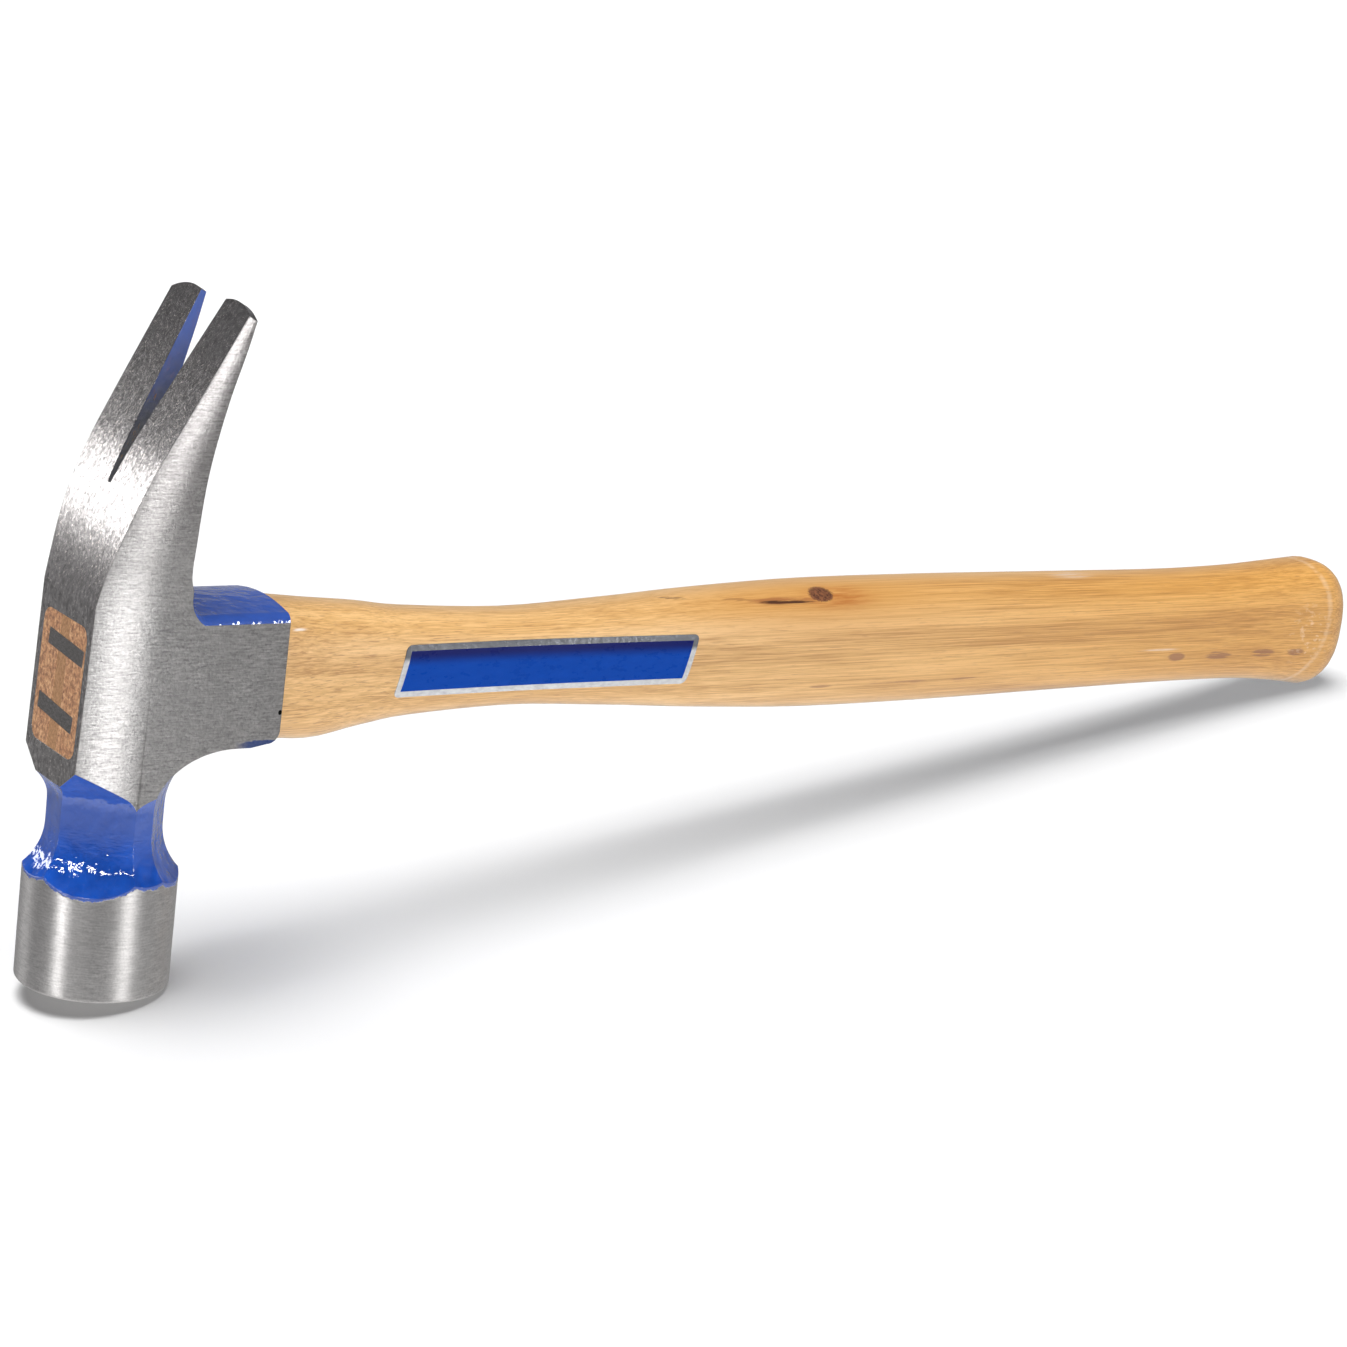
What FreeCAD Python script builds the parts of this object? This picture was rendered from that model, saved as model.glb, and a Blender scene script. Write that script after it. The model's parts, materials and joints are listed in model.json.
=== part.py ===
import FreeCAD, Part
import math
import os
from FreeCAD import Vector, Rotation, Placement

# Framing hammer with a forged steel head and a wedged hickory handle, in millimetres.
# The hammer is drawn with its head upright: x runs along the handle away from the head,
# y is the thickness, z runs from the striking face up to the claws, and the poll's axis
# is x = 0, y = 0. At the end it is turned so that it lies as it does on a floor,
# on the rim of the striking face and on the underside of the butt.

# Poll, the round striking end
poll_radius = 19.6
rim_chamfer = 0.8

# Neck, an octagon whose facets are hollowed by a round-nosed bar
hollow_radius = 16.9
hollow_low_height = 41.9
neck_split_height = 46.0
front_facet_distance = 14.2
front_facet_top = 48.9
front_side_facet_angle = 35.9
front_side_facet_distance = 11.8
front_side_facet_top = 47.5
cheek_facet_angle = 14.8
cheek_facet_distance = 15.0
cheek_facet_top = 47.7
back_side_facet_angle = 51.0
back_side_facet_distance = 13.7
back_side_facet_top = 47.1
back_facet_distance = 14.2
back_facet_top = 47.1
shoulder_radius = 7.2
shoulder_slope_angle = 47.0

# Eye, the tapered hole through the head
eye_rise = 32.8
eye_centre_height = neck_split_height + eye_rise
eye_half_height = 16.9
eye_half_width = 12.5
eye_corner_radius = 3.4
eye_waist_x = 8.2
eye_waist_half_height = 15.5
eye_waist_half_width = 11.3
mouth_half_height = 15.7
mouth_half_width = 12.7
mouth_rise = 2.9
mouth_centre_height = eye_centre_height + mouth_rise
eye_clearance = 0.05

# Cheeks and the eye face
eye_face_reach = 16.2
eye_face_drop = 18.7
eye_face_low = eye_centre_height - eye_face_drop
eye_face_lean_angle = 2.4
cheek_half_width = 14.9
cheek_widening = 0.5
crown_depth = 18.4
crown_slope_share = 0.025
crease_rise = 23.0
crease_height = eye_centre_height + crease_rise

# Claws
bend_start_angle = 10.2
bend_end_angle = 27.5
bend_rise = 39.4
bend_end_height = crease_height + bend_rise
claw_straight_rise = 35.8
claw_end_height = bend_end_height + claw_straight_rise
claw_spread = 5.9
claw_blank_excess = 2.5
tip_crown_depth = 1.5
root_x = 11.0
root_radius = 4.1
# Each row is how far along the claw's rise the underside passes, and how far out it is there.
underside_shares = (
    (0.108, 0.560),
    (0.241, 0.537),
    (0.454, 0.571),
    (0.694, 0.754),
    (0.880, 0.971),
)
underside_end_share = 1.126
claw_reach = 17.9
# Each row is the share of the way from the crease to the end of the blank,
# and the share of the spread that the claws have reached there.
spread_shares = (
    (0.0, 0.0),
    (0.075, 0.10),
    (0.165, 0.31),
    (0.270, 0.52),
    (0.400, 0.69),
    (0.560, 0.83),
    (0.740, 0.92),
    (1.0, 1.0),
)

# Nail slot between the claws
slot_rise = 46.5
slot_apex_height = claw_end_height - slot_rise
slot_apex_radius = 0.6
slot_half_angle = 6.7
slot_bevel_share = 0.42
slot_end_bevel_share = 0.6
tip_arc_centre_y = 11.6
tip_arc_radius = 19.4

# Adze socket round the handle
socket_end_x = 38.9
socket_rise = 21.4
socket_top = eye_centre_height + socket_rise
socket_arch_drop = 1.4
socket_edge_radius = 2.8
root_turn_shares = (0.0, 0.25, 0.5, 0.75, 1.0)
root_fade_share = 0.9
socket_low_corner = 3.4
socket_low_rise = 0.8

# Handle
handle_end_x = 427.6
handle_drop = 0.6
handle_axis_height = mouth_centre_height - handle_drop
shoulder_gap = 0.05
butt_height = 40.7
butt_width = 29.3
butt_round = 12.8
butt_side_round = 9.2
section_power = 2.6
# Each row is the share of the free length, then the height and the width there
# as shares of the butt's, and the drop of the section's centre as a share of its height.
station_shares = (
    (0.000, 0.900, 1.000, -0.003),
    (0.032, 0.894, 0.930, 0.028),
    (0.074, 0.794, 0.860, 0.012),
    (0.112, 0.702, 0.815, 0.008),
    (0.190, 0.640, 0.795, 0.008),
    (0.270, 0.715, 0.830, 0.006),
    (0.355, 0.822, 0.895, 0.004),
    (0.450, 0.900, 0.925, 0.004),
    (0.560, 0.905, 0.930, 0.002),
    (0.700, 0.876, 0.908, -0.002),
    (0.830, 0.858, 0.900, -0.006),
    (0.890, 0.880, 0.930, -0.012),
    (0.935, 0.938, 0.970, -0.010),
)
swell_share = 0.45

# Wedges in the end of the handle
wood_wedge_thickness = 5.1
wood_wedge_tip = 1.2
wood_wedge_depth = 31.7
kerf_depth = 38.9
steel_wedge_thickness = 4.3
steel_wedge_tip = 0.8
steel_wedge_depth = 25.6
steel_wedge_width = 20.1
claw_side_wedge_rise = 9.5
claw_side_wedge_offset = 1.5
claw_side_wedge_turn_angle = 3.5
face_side_wedge_drop = 7.6
face_side_wedge_offset = -0.4
face_side_wedge_turn_angle = 4.5
wedge_clearance = 0.05

# Foil label on the near side of the handle
label_length = 92.6
label_height = 13.9
label_slant = 3.1
label_centre_x = 121.1
label_corner = 1.6
label_thickness = 0.2

# Overrun of the cutting shapes past the faces that they cut
overrun = 3.0


def polygon_face(points):
    return Part.Face(Part.makePolygon(list(points) + [points[0]]))


def rad(angle):
    return math.radians(angle)


def outward(shape):
    """The same shape as a solid whose faces all look outwards."""
    return Part.makeSolid(shape.Shells[0])


def prism(face, direction):
    return outward(face.extrude(direction))


def loft(sections, ruled=False):
    return outward(Part.makeLoft(sections, True, ruled))


def eye_face_x(z):
    return -eye_face_reach + (z - eye_face_low) * math.tan(rad(eye_face_lean_angle))


def bend_end_x():
    """Where the claws' bend ends: its chord leans by the mean of its two end angles."""
    chord_angle = rad((bend_start_angle + bend_end_angle) / 2)
    return eye_face_x(crease_height) + bend_rise * math.tan(chord_angle)


def bend_circle():
    """Centre and radius of the claws' bend in the side view."""
    start = Vector(eye_face_x(crease_height), 0, crease_height)
    end = Vector(bend_end_x(), 0, bend_end_height)
    chord = end.sub(start)
    turn = rad(bend_end_angle - bend_start_angle)
    radius = chord.Length / 2 / math.sin(turn / 2)
    inward = Vector(math.cos(rad(bend_end_angle)), 0, -math.sin(rad(bend_end_angle)))
    return end.add(inward.multiply(radius)), radius


def front_x(z):
    """Where the head's front, away from the handle, lies at a height."""
    if z <= crease_height:
        return eye_face_x(z)
    if z <= bend_end_height:
        centre, radius = bend_circle()
        return centre.x - math.sqrt(radius ** 2 - (z - centre.z) ** 2)
    return bend_end_x() + (z - bend_end_height) * math.tan(rad(bend_end_angle))


def head_side_profile():
    """The head's outline seen from the side, from the neck to past the claw tips."""
    blank_end = claw_end_height + claw_blank_excess
    claw_rise = claw_end_height - socket_top
    crease = Vector(eye_face_x(crease_height), 0, crease_height)
    bend_middle_height = (crease_height + bend_end_height) / 2
    bend_middle = Vector(front_x(bend_middle_height), 0, bend_middle_height)
    bend_end = Vector(bend_end_x(), 0, bend_end_height)
    blank_top = socket_top + root_radius
    root = Vector(root_x, 0, blank_top)
    underside = [root]
    for rise_share, reach_share in underside_shares:
        underside.append(Vector(reach_share * claw_reach, 0, socket_top + rise_share * claw_rise))
    underside.append(Vector(underside_end_share * claw_reach, 0, blank_end))
    underside_curve = Part.BSplineCurve()
    underside_curve.interpolate(
        Points=underside,
        InitialTangent=Vector(0, 0, 1),
        FinalTangent=underside[-1].sub(underside[-2]),
    )
    low = back_facet_top + hollow_radius
    hollow_x = back_facet_distance + hollow_radius
    corner_start = Vector(socket_end_x, 0, low + socket_low_rise + socket_low_corner)
    corner_end = Vector(socket_end_x - socket_low_corner, 0, low + socket_low_rise)
    cut = socket_low_corner * (1 - math.sqrt(0.5))
    corner_middle = Vector(socket_end_x - cut, 0, low + socket_low_rise + cut)
    slope_middle = Vector(
        hollow_x - hollow_radius * math.sqrt(0.5), 0, back_facet_top + hollow_radius * math.sqrt(0.5)
    )
    bottom = neck_split_height
    points = [
        root,
        Vector(socket_end_x, 0, blank_top),
        corner_start,
        corner_end,
        Vector(hollow_x, 0, low),
        Vector(back_facet_distance, 0, back_facet_top),
        Vector(back_facet_distance, 0, bottom),
        Vector(eye_face_x(bottom), 0, bottom),
        crease,
    ]
    top_end = Vector(front_x(blank_end), 0, blank_end)
    edges = [
        Part.LineSegment(points[0], points[1]).toShape(),
        Part.LineSegment(points[1], points[2]).toShape(),
        Part.Arc(points[2], corner_middle, points[3]).toShape(),
        Part.LineSegment(points[3], points[4]).toShape(),
        Part.Arc(points[4], slope_middle, points[5]).toShape(),
        Part.LineSegment(points[5], points[6]).toShape(),
        Part.LineSegment(points[6], points[7]).toShape(),
        Part.LineSegment(points[7], points[8]).toShape(),
        Part.Arc(crease, bend_middle, bend_end).toShape(),
        Part.LineSegment(bend_end, top_end).toShape(),
        Part.LineSegment(top_end, underside[-1]).toShape(),
        underside_curve.toShape(),
    ]
    return Part.Face(Part.Wire(Part.__sortEdges__(edges)))


def width_section(z, ridge_half_width, depth):
    """One level of the head's plan: flat sides that curve in a little towards the front."""
    front = front_x(z) - overrun
    crown_end = front_x(z) + depth
    back = socket_end_x + overrun
    flat_half_width = ridge_half_width + crown_slope_share * depth
    reach = crown_end - front
    drop = crown_slope_share * depth * (reach / depth) ** 2
    a = Vector(front, flat_half_width - drop, z)
    b = Vector(front + reach / 2, flat_half_width - drop / 4, z)
    c = Vector(crown_end, flat_half_width, z)
    d = Vector(back, flat_half_width, z)
    mirror = [Vector(v.x, -v.y, v.z) for v in (a, b, c, d)]
    edges = [
        Part.LineSegment(mirror[0], a).toShape(),
        Part.Arc(a, b, c).toShape(),
        Part.LineSegment(c, d).toShape(),
        Part.LineSegment(d, mirror[3]).toShape(),
        Part.LineSegment(mirror[3], mirror[2]).toShape(),
        Part.Arc(mirror[2], mirror[1], mirror[0]).toShape(),
    ]
    return Part.Wire(edges)


def head_widths():
    """The room that the head fills in thickness: even cheeks, then claws that spread."""
    bottom = neck_split_height - overrun
    crease_width = cheek_half_width + cheek_widening
    cheeks = loft(
        [
            width_section(bottom, cheek_half_width, crown_depth),
            width_section(crease_height, crease_width, crown_depth),
        ],
        True,
    )
    blank_end = claw_end_height + claw_blank_excess + overrun
    sections = []
    for height_share, spread_share in spread_shares:
        z = crease_height + height_share * (blank_end - crease_height)
        depth = crown_depth * (1 - height_share) + tip_crown_depth * height_share
        sections.append(width_section(z, crease_width + spread_share * claw_spread, depth))
    return [cheeks, loft(sections)]


def cap_section(x, raise_by, fade_share):
    """What lies over the crowned top of the socket, seen along the handle."""
    half = cheek_half_width + cheek_widening + crown_slope_share * crown_depth
    radius = socket_edge_radius * fade_share
    shoulder = socket_top + raise_by - socket_arch_drop * fade_share
    turn = radius * (1 - math.sqrt(0.5))
    side = half + overrun
    top = socket_top + root_radius + 2 * overrun
    a = Vector(x, half, shoulder - radius)
    b = Vector(x, half - turn, shoulder - turn)
    c = Vector(x, half - radius, shoulder)
    crown = Vector(x, 0, socket_top + raise_by)
    low_right = Vector(x, side, shoulder - radius)
    low_left = Vector(x, -side, shoulder - radius)
    edges = [
        Part.LineSegment(Vector(x, -side, top), Vector(x, side, top)).toShape(),
        Part.LineSegment(Vector(x, side, top), low_right).toShape(),
        Part.LineSegment(low_right, a).toShape(),
        Part.Arc(a, b, c).toShape(),
        Part.Arc(c, crown, Vector(x, -c.y, c.z)).toShape(),
        Part.Arc(Vector(x, -c.y, c.z), Vector(x, -b.y, b.z), Vector(x, -a.y, a.z)).toShape(),
        Part.LineSegment(Vector(x, -a.y, a.z), low_left).toShape(),
        Part.LineSegment(low_left, Vector(x, -side, top)).toShape(),
    ]
    return Part.Wire(edges)


def socket_caps():
    """The room over the socket's crowned top, swept up into the claws' root."""
    corner_x = root_x + root_radius
    straight = loft([cap_section(corner_x, 0, 1), cap_section(socket_end_x + overrun, 0, 1)], True)
    sections = []
    for turn_share in root_turn_shares:
        angle = rad(90) * turn_share
        x = root_x + root_radius * (1 - math.sin(angle))
        raise_by = root_radius * (1 - math.cos(angle))
        sections.append(cap_section(x, raise_by, 1 - turn_share * root_fade_share))
    return [straight, loft(sections)]


def facet_bar(angle, distance, top_height, steep):
    """A bar that hollows one facet of the neck. The angle turns from -y to +x. A steep bar
    leaves a sloping shoulder over the facet, and the others a round hollow."""
    centre = distance + hollow_radius
    far = centre + hollow_radius
    low = hollow_low_height
    bottom = low - hollow_radius
    nose = hollow_radius * math.sqrt(0.5)
    lower_facet = Vector(distance, 0, low)
    upper_facet = Vector(distance, 0, top_height)
    if steep:
        slope = rad(shoulder_slope_angle)
        half_slope = slope / 2
        middle = Vector(
            distance + shoulder_radius * (1 - math.cos(half_slope)),
            0,
            top_height + shoulder_radius * math.sin(half_slope),
        )
        hollow_end = Vector(
            distance + shoulder_radius * (1 - math.cos(slope)),
            0,
            top_height + shoulder_radius * math.sin(slope),
        )
        far_top = Vector(far, 0, hollow_end.z + (far - hollow_end.x) / math.tan(slope))
    else:
        middle = Vector(centre - nose, 0, top_height + nose)
        hollow_end = Vector(centre, 0, top_height + hollow_radius)
        far_top = Vector(far, 0, top_height + hollow_radius)
    lower_start = Vector(centre, 0, bottom)
    lower_middle = Vector(centre - nose, 0, low - nose)
    far_low = Vector(far, 0, bottom)
    edges = [
        Part.Arc(lower_start, lower_middle, lower_facet).toShape(),
        Part.LineSegment(lower_facet, upper_facet).toShape(),
        Part.Arc(upper_facet, middle, hollow_end).toShape(),
        Part.LineSegment(hollow_end, far_top).toShape(),
        Part.LineSegment(far_top, far_low).toShape(),
        Part.LineSegment(far_low, lower_start).toShape(),
    ]
    half_length = 2 * poll_radius
    face = Part.Face(Part.Wire(edges))
    face.translate(Vector(0, -half_length, 0))
    bar = prism(face, Vector(0, 2 * half_length, 0))
    bar.rotate(Vector(0, 0, 0), Vector(0, 0, 1), angle - 90)
    return bar


def neck_bars():
    """The bars for the eight facets, in mirrored pairs but for the front and the back."""
    bars = [
        facet_bar(-90, front_facet_distance, front_facet_top, True),
        facet_bar(90, back_facet_distance, back_facet_top, False),
    ]
    pairs = (
        (-front_side_facet_angle, front_side_facet_distance, front_side_facet_top, True),
        (cheek_facet_angle, cheek_facet_distance, cheek_facet_top, True),
        (back_side_facet_angle, back_side_facet_distance, back_side_facet_top, False),
    )
    for angle, distance, top_height, steep in pairs:
        bars.append(facet_bar(angle, distance, top_height, steep))
        bars.append(facet_bar(180 - angle, distance, top_height, steep))
    return bars


def poll():
    outline = polygon_face(
        [
            Vector(0, 0, 0),
            Vector(poll_radius - rim_chamfer, 0, 0),
            Vector(poll_radius, 0, rim_chamfer),
            Vector(poll_radius, 0, neck_split_height),
            Vector(0, 0, neck_split_height),
        ]
    )
    return outward(outline.revolve(Vector(0, 0, 0), Vector(0, 0, 1), 360))


def claw_plane():
    """The flat upper face of the claws: local x is along y, local y runs up to the tips,
    and local z points out of the steel."""
    along = Vector(math.sin(rad(bend_end_angle)), 0, math.cos(rad(bend_end_angle)))
    across = Vector(0, -1, 0)
    out = across.cross(along)
    start_x = bend_end_x() + (slot_apex_height - bend_end_height) * math.tan(rad(bend_end_angle))
    start = Vector(start_x, 0, slot_apex_height)
    matrix = FreeCAD.Matrix(
        across.x, along.x, out.x, start.x,
        across.y, along.y, out.y, start.y,
        across.z, along.z, out.z, start.z,
        0, 0, 0, 1,
    )
    return matrix


def slot_outline(depth):
    """A round-ended V at a depth under the claws' upper face, wider the deeper it is."""
    length = claw_end_height - slot_apex_height + claw_reach
    radius = slot_apex_radius + slot_bevel_share * depth
    spread = (slot_end_bevel_share - slot_bevel_share) * depth / length
    half_angle = math.atan(math.tan(rad(slot_half_angle)) + spread)
    tangent_x = radius * math.cos(half_angle)
    tangent_y = -radius * math.sin(half_angle)
    end_x = tangent_x + (length - tangent_y) * math.tan(half_angle)
    left = Vector(-tangent_x, tangent_y, -depth)
    right = Vector(tangent_x, tangent_y, -depth)
    edges = [
        Part.Arc(left, Vector(0, -radius, -depth), right).toShape(),
        Part.LineSegment(right, Vector(end_x, length, -depth)).toShape(),
        Part.LineSegment(Vector(end_x, length, -depth), Vector(-end_x, length, -depth)).toShape(),
        Part.LineSegment(Vector(-end_x, length, -depth), left).toShape(),
    ]
    return Part.Wire(edges)


def nail_slot():
    """The bevelled V between the claws."""
    above = -slot_apex_radius / 2 / slot_bevel_share
    below = 2 * claw_reach
    cutter = loft([slot_outline(above), slot_outline(below)], True)
    cutter.transformShape(claw_plane())
    return cutter


def claw_tips():
    """What is cut off past the rounded ends of the two claws."""
    out = 2 * claw_spread
    height = tip_arc_radius
    rise = (claw_end_height - slot_apex_height) / math.cos(rad(bend_end_angle))
    half = tip_arc_centre_y + tip_arc_radius
    block = Part.makeBox(
        2 * half, 2 * height, 2 * out, Vector(-half, rise - height, -out)
    )
    keep = []
    for side in (-1, 1):
        disc = Part.makeCylinder(
            tip_arc_radius, 2 * out, Vector(side * tip_arc_centre_y, rise - tip_arc_radius, -out)
        )
        keep.append(disc)
    cutter = block.cut(keep)
    cutter.transformShape(claw_plane())
    return cutter


def rounded_rectangle(x, centre_height, half_height, half_width, radius):
    """A closed outline square to the handle."""
    turn = radius * (1 - math.sqrt(0.5))
    corners = []
    for sy, sz in ((1, 1), (-1, 1), (-1, -1), (1, -1)):
        outer_y = sy * half_width
        outer_z = sz * half_height
        side = Vector(x, outer_y, centre_height + outer_z - sz * radius)
        middle = Vector(x, outer_y - sy * turn, centre_height + outer_z - sz * turn)
        end = Vector(x, outer_y - sy * radius, centre_height + outer_z)
        corners.append((side, middle, end) if sy * sz > 0 else (end, middle, side))
    edges = []
    for index, (first, middle, last) in enumerate(corners):
        following = corners[(index + 1) % len(corners)][0]
        edges.append(Part.Arc(first, middle, last).toShape())
        edges.append(Part.LineSegment(last, following).toShape())
    return Part.Wire(edges)


def eye_solid(inset, front, back):
    """The tapered space inside the eye, drawn in by an inset, between two places on x."""
    face_x = -eye_face_reach

    def share(x):
        """Sizes at a place: from the eye face to the waist, and on to the mouth."""
        if x <= eye_waist_x:
            t = (x - face_x) / (eye_waist_x - face_x)
            low = (eye_centre_height, eye_half_height, eye_half_width)
            middle_centre = (eye_centre_height + mouth_centre_height) / 2
            high = (middle_centre, eye_waist_half_height, eye_waist_half_width)
        else:
            t = (x - eye_waist_x) / (socket_end_x - eye_waist_x)
            middle_centre = (eye_centre_height + mouth_centre_height) / 2
            low = (middle_centre, eye_waist_half_height, eye_waist_half_width)
            high = (mouth_centre_height, mouth_half_height, mouth_half_width)
        return [a + (b - a) * t for a, b in zip(low, high)]

    def outline(x):
        centre, half_height, half_width = share(x)
        return rounded_rectangle(
            x, centre, half_height - inset, half_width - inset, eye_corner_radius
        )

    return loft([outline(front), outline(eye_waist_x), outline(back)], True)


def eye_face_trim():
    """Everything in front of the leaning eye face."""
    low = eye_face_low - overrun
    high = crease_height + overrun
    far = -3 * eye_face_reach
    outline = polygon_face(
        [
            Vector(eye_face_x(low), -2 * poll_radius, low),
            Vector(eye_face_x(high), -2 * poll_radius, high),
            Vector(far, -2 * poll_radius, high),
            Vector(far, -2 * poll_radius, low),
        ]
    )
    return prism(outline, Vector(0, 4 * poll_radius, 0))


def hammer_head():
    reach = 2 * cheek_half_width
    side = head_side_profile()
    side.translate(Vector(0, -reach, 0))
    blank = prism(side, Vector(0, 2 * reach, 0))
    cheeks, claws = [blank.common(width) for width in head_widths()]
    head = cheeks.fuse([claws, poll()])
    head = head.cut(socket_caps())
    head = head.cut(neck_bars())
    head = head.cut([nail_slot(), claw_tips()])
    head = head.cut(eye_solid(0, -eye_face_reach - overrun, socket_end_x + overrun))
    return head.removeSplitter()


def handle_section(x, centre_height, height, width):
    """A flattened oval, high in the direction of the blow."""
    count = 12
    points = []
    power = 2 / section_power
    for index in range(count):
        angle = 2 * math.pi * index / count
        c = math.cos(angle)
        s = math.sin(angle)
        y = math.copysign(abs(c) ** power, c) * width / 2
        z = math.copysign(abs(s) ** power, s) * height / 2
        points.append(Vector(x, y, centre_height + z))
    curve = Part.BSplineCurve()
    curve.interpolate(Points=points, PeriodicFlag=True, Parameters=list(range(count + 1)))
    return Part.Wire(curve.toShape())


def handle_stations():
    """The rows of shares, and up to the swell one more halfway between each two."""
    places = [row[0] for row in station_shares]
    curve = Part.BSplineCurve()
    curve.interpolate(Points=[Vector(*row[1:]) for row in station_shares], Parameters=places)
    stations = []
    for place, following in zip(places, places[1:]):
        stations.append((place, curve.value(place)))
        if following <= swell_share:
            halfway = (place + following) / 2
            stations.append((halfway, curve.value(halfway)))
    stations.append((places[-1], curve.value(places[-1])))
    return stations


def handle_blank(swell):
    """The handle from its shoulder to the butt, thicker all round by the swell."""
    start = socket_end_x + shoulder_gap
    free_length = handle_end_x - start
    sections = []
    for along, shares in handle_stations():
        height = shares.x * butt_height
        centre = handle_axis_height - shares.z * height
        x = start + along * free_length
        width = shares.y * butt_width
        sections.append(handle_section(x, centre, height + 2 * swell, width + 2 * swell))
    steps = 4
    for step in range(steps + 1):
        angle = rad(90) * step / steps
        turn_share = 1 - math.cos(angle)
        x = handle_end_x - butt_round * (1 - math.sin(angle))
        height = butt_height - 2 * butt_round * turn_share
        width = butt_width - 2 * butt_side_round * turn_share
        sections.append(handle_section(x, handle_axis_height, height + 2 * swell, width + 2 * swell))
    return loft(sections, True)


def wood_wedge_blank(clearance):
    """The wooden wedge's taper, seen from above, right through the tenon's height."""
    tip_x = -eye_face_reach + wood_wedge_depth
    half = wood_wedge_thickness / 2 + clearance
    tip = wood_wedge_tip / 2 + clearance
    front = -eye_face_reach - overrun
    slope = (half - tip) / wood_wedge_depth
    front_half = half + slope * overrun
    outline = polygon_face(
        [
            Vector(front, -front_half, 0),
            Vector(tip_x + clearance, -tip, 0),
            Vector(tip_x + clearance, tip, 0),
            Vector(front, front_half, 0),
        ]
    )
    return prism(outline, Vector(0, 0, 2 * mouth_centre_height))


def saw_kerf():
    """The sawn slot that the wooden wedge is driven into, past the wedge's tip."""
    front = -eye_face_reach + wood_wedge_depth / 2
    length = kerf_depth - wood_wedge_depth / 2
    return Part.makeBox(
        length, wood_wedge_tip, 2 * mouth_centre_height, Vector(front, -wood_wedge_tip / 2, 0)
    )


def steel_wedge_blank(height, offset, turn, clearance):
    """A steel wedge's taper: it crosses the wooden wedge, a little turned."""
    half = steel_wedge_thickness / 2 + clearance
    tip = steel_wedge_tip / 2 + clearance
    front = -eye_face_reach - overrun
    tip_x = -eye_face_reach + steel_wedge_depth + clearance
    slope = (half - tip) / steel_wedge_depth
    front_half = half + slope * overrun
    width = steel_wedge_width + 2 * clearance
    outline = polygon_face(
        [
            Vector(front, -width / 2, -front_half),
            Vector(tip_x, -width / 2, -tip),
            Vector(tip_x, -width / 2, tip),
            Vector(front, -width / 2, front_half),
        ]
    )
    wedge = prism(outline, Vector(0, width, 0))
    wedge.rotate(Vector(0, 0, 0), Vector(1, 0, 0), turn)
    wedge.translate(Vector(0, -offset, height))
    return wedge


def claw_side_wedge(clearance):
    return steel_wedge_blank(
        eye_centre_height + claw_side_wedge_rise,
        claw_side_wedge_offset,
        claw_side_wedge_turn_angle,
        clearance,
    )


def face_side_wedge(clearance):
    return steel_wedge_blank(
        eye_centre_height - face_side_wedge_drop,
        face_side_wedge_offset,
        face_side_wedge_turn_angle,
        clearance,
    )


def tenon():
    """The handle's end inside the eye, flush with the eye face."""
    start = -eye_face_reach - overrun
    body = eye_solid(eye_clearance, start, socket_end_x + shoulder_gap)
    return body.cut(eye_face_trim())


def handle():
    wood = handle_blank(0).fuse(tenon()).removeSplitter()
    slots = [
        wood_wedge_blank(wedge_clearance),
        saw_kerf(),
        claw_side_wedge(wedge_clearance),
        face_side_wedge(wedge_clearance),
    ]
    return wood.cut(slots)


def wood_wedge():
    wedge = wood_wedge_blank(0).common(tenon())
    return wedge.cut([claw_side_wedge(wedge_clearance), face_side_wedge(wedge_clearance)])


def label_outline():
    """The slanted outline of the label, with round corners, seen from the near side."""
    half_length = label_length / 2
    half_height = label_height / 2
    lean = label_slant / 2
    corners = [
        Vector(label_centre_x - half_length - lean, 0, handle_axis_height - half_height),
        Vector(label_centre_x + half_length - lean, 0, handle_axis_height - half_height),
        Vector(label_centre_x + half_length + lean, 0, handle_axis_height + half_height),
        Vector(label_centre_x - half_length + lean, 0, handle_axis_height + half_height),
    ]
    edges = []
    ends = []
    for index, corner in enumerate(corners):
        before = corners[index - 1].sub(corner).normalize()
        after = corners[(index + 1) % len(corners)].sub(corner).normalize()
        half_turn = before.getAngle(after) / 2
        setback = label_corner / math.tan(half_turn)
        centre_distance = label_corner / math.sin(half_turn)
        inward = before.add(after).normalize()
        first = corner.add(Vector(before).multiply(setback))
        last = corner.add(Vector(after).multiply(setback))
        middle = corner.add(Vector(inward).multiply(centre_distance - label_corner))
        edges.append(Part.Arc(first, middle, last).toShape())
        ends.append((first, last))
    for index, (first, last) in enumerate(ends):
        following = ends[(index + 1) % len(ends)][0]
        edges.append(Part.LineSegment(last, following).toShape())
    return Part.Face(Part.Wire(Part.__sortEdges__(edges)))


def handle_label():
    outline = label_outline()
    patch = prism(outline, Vector(0, -butt_width, 0))
    return handle_blank(label_thickness).common(patch).cut(handle_blank(0))


def rest_tilt(wood):
    """The angle at which the hammer lies on the rim of its face and on its butt."""
    rim_x = poll_radius - rim_chamfer
    points = wood.tessellate(label_thickness / 4)[0]
    return min(math.atan2(v.z, v.x - rim_x) for v in points if v.x > label_centre_x)


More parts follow.
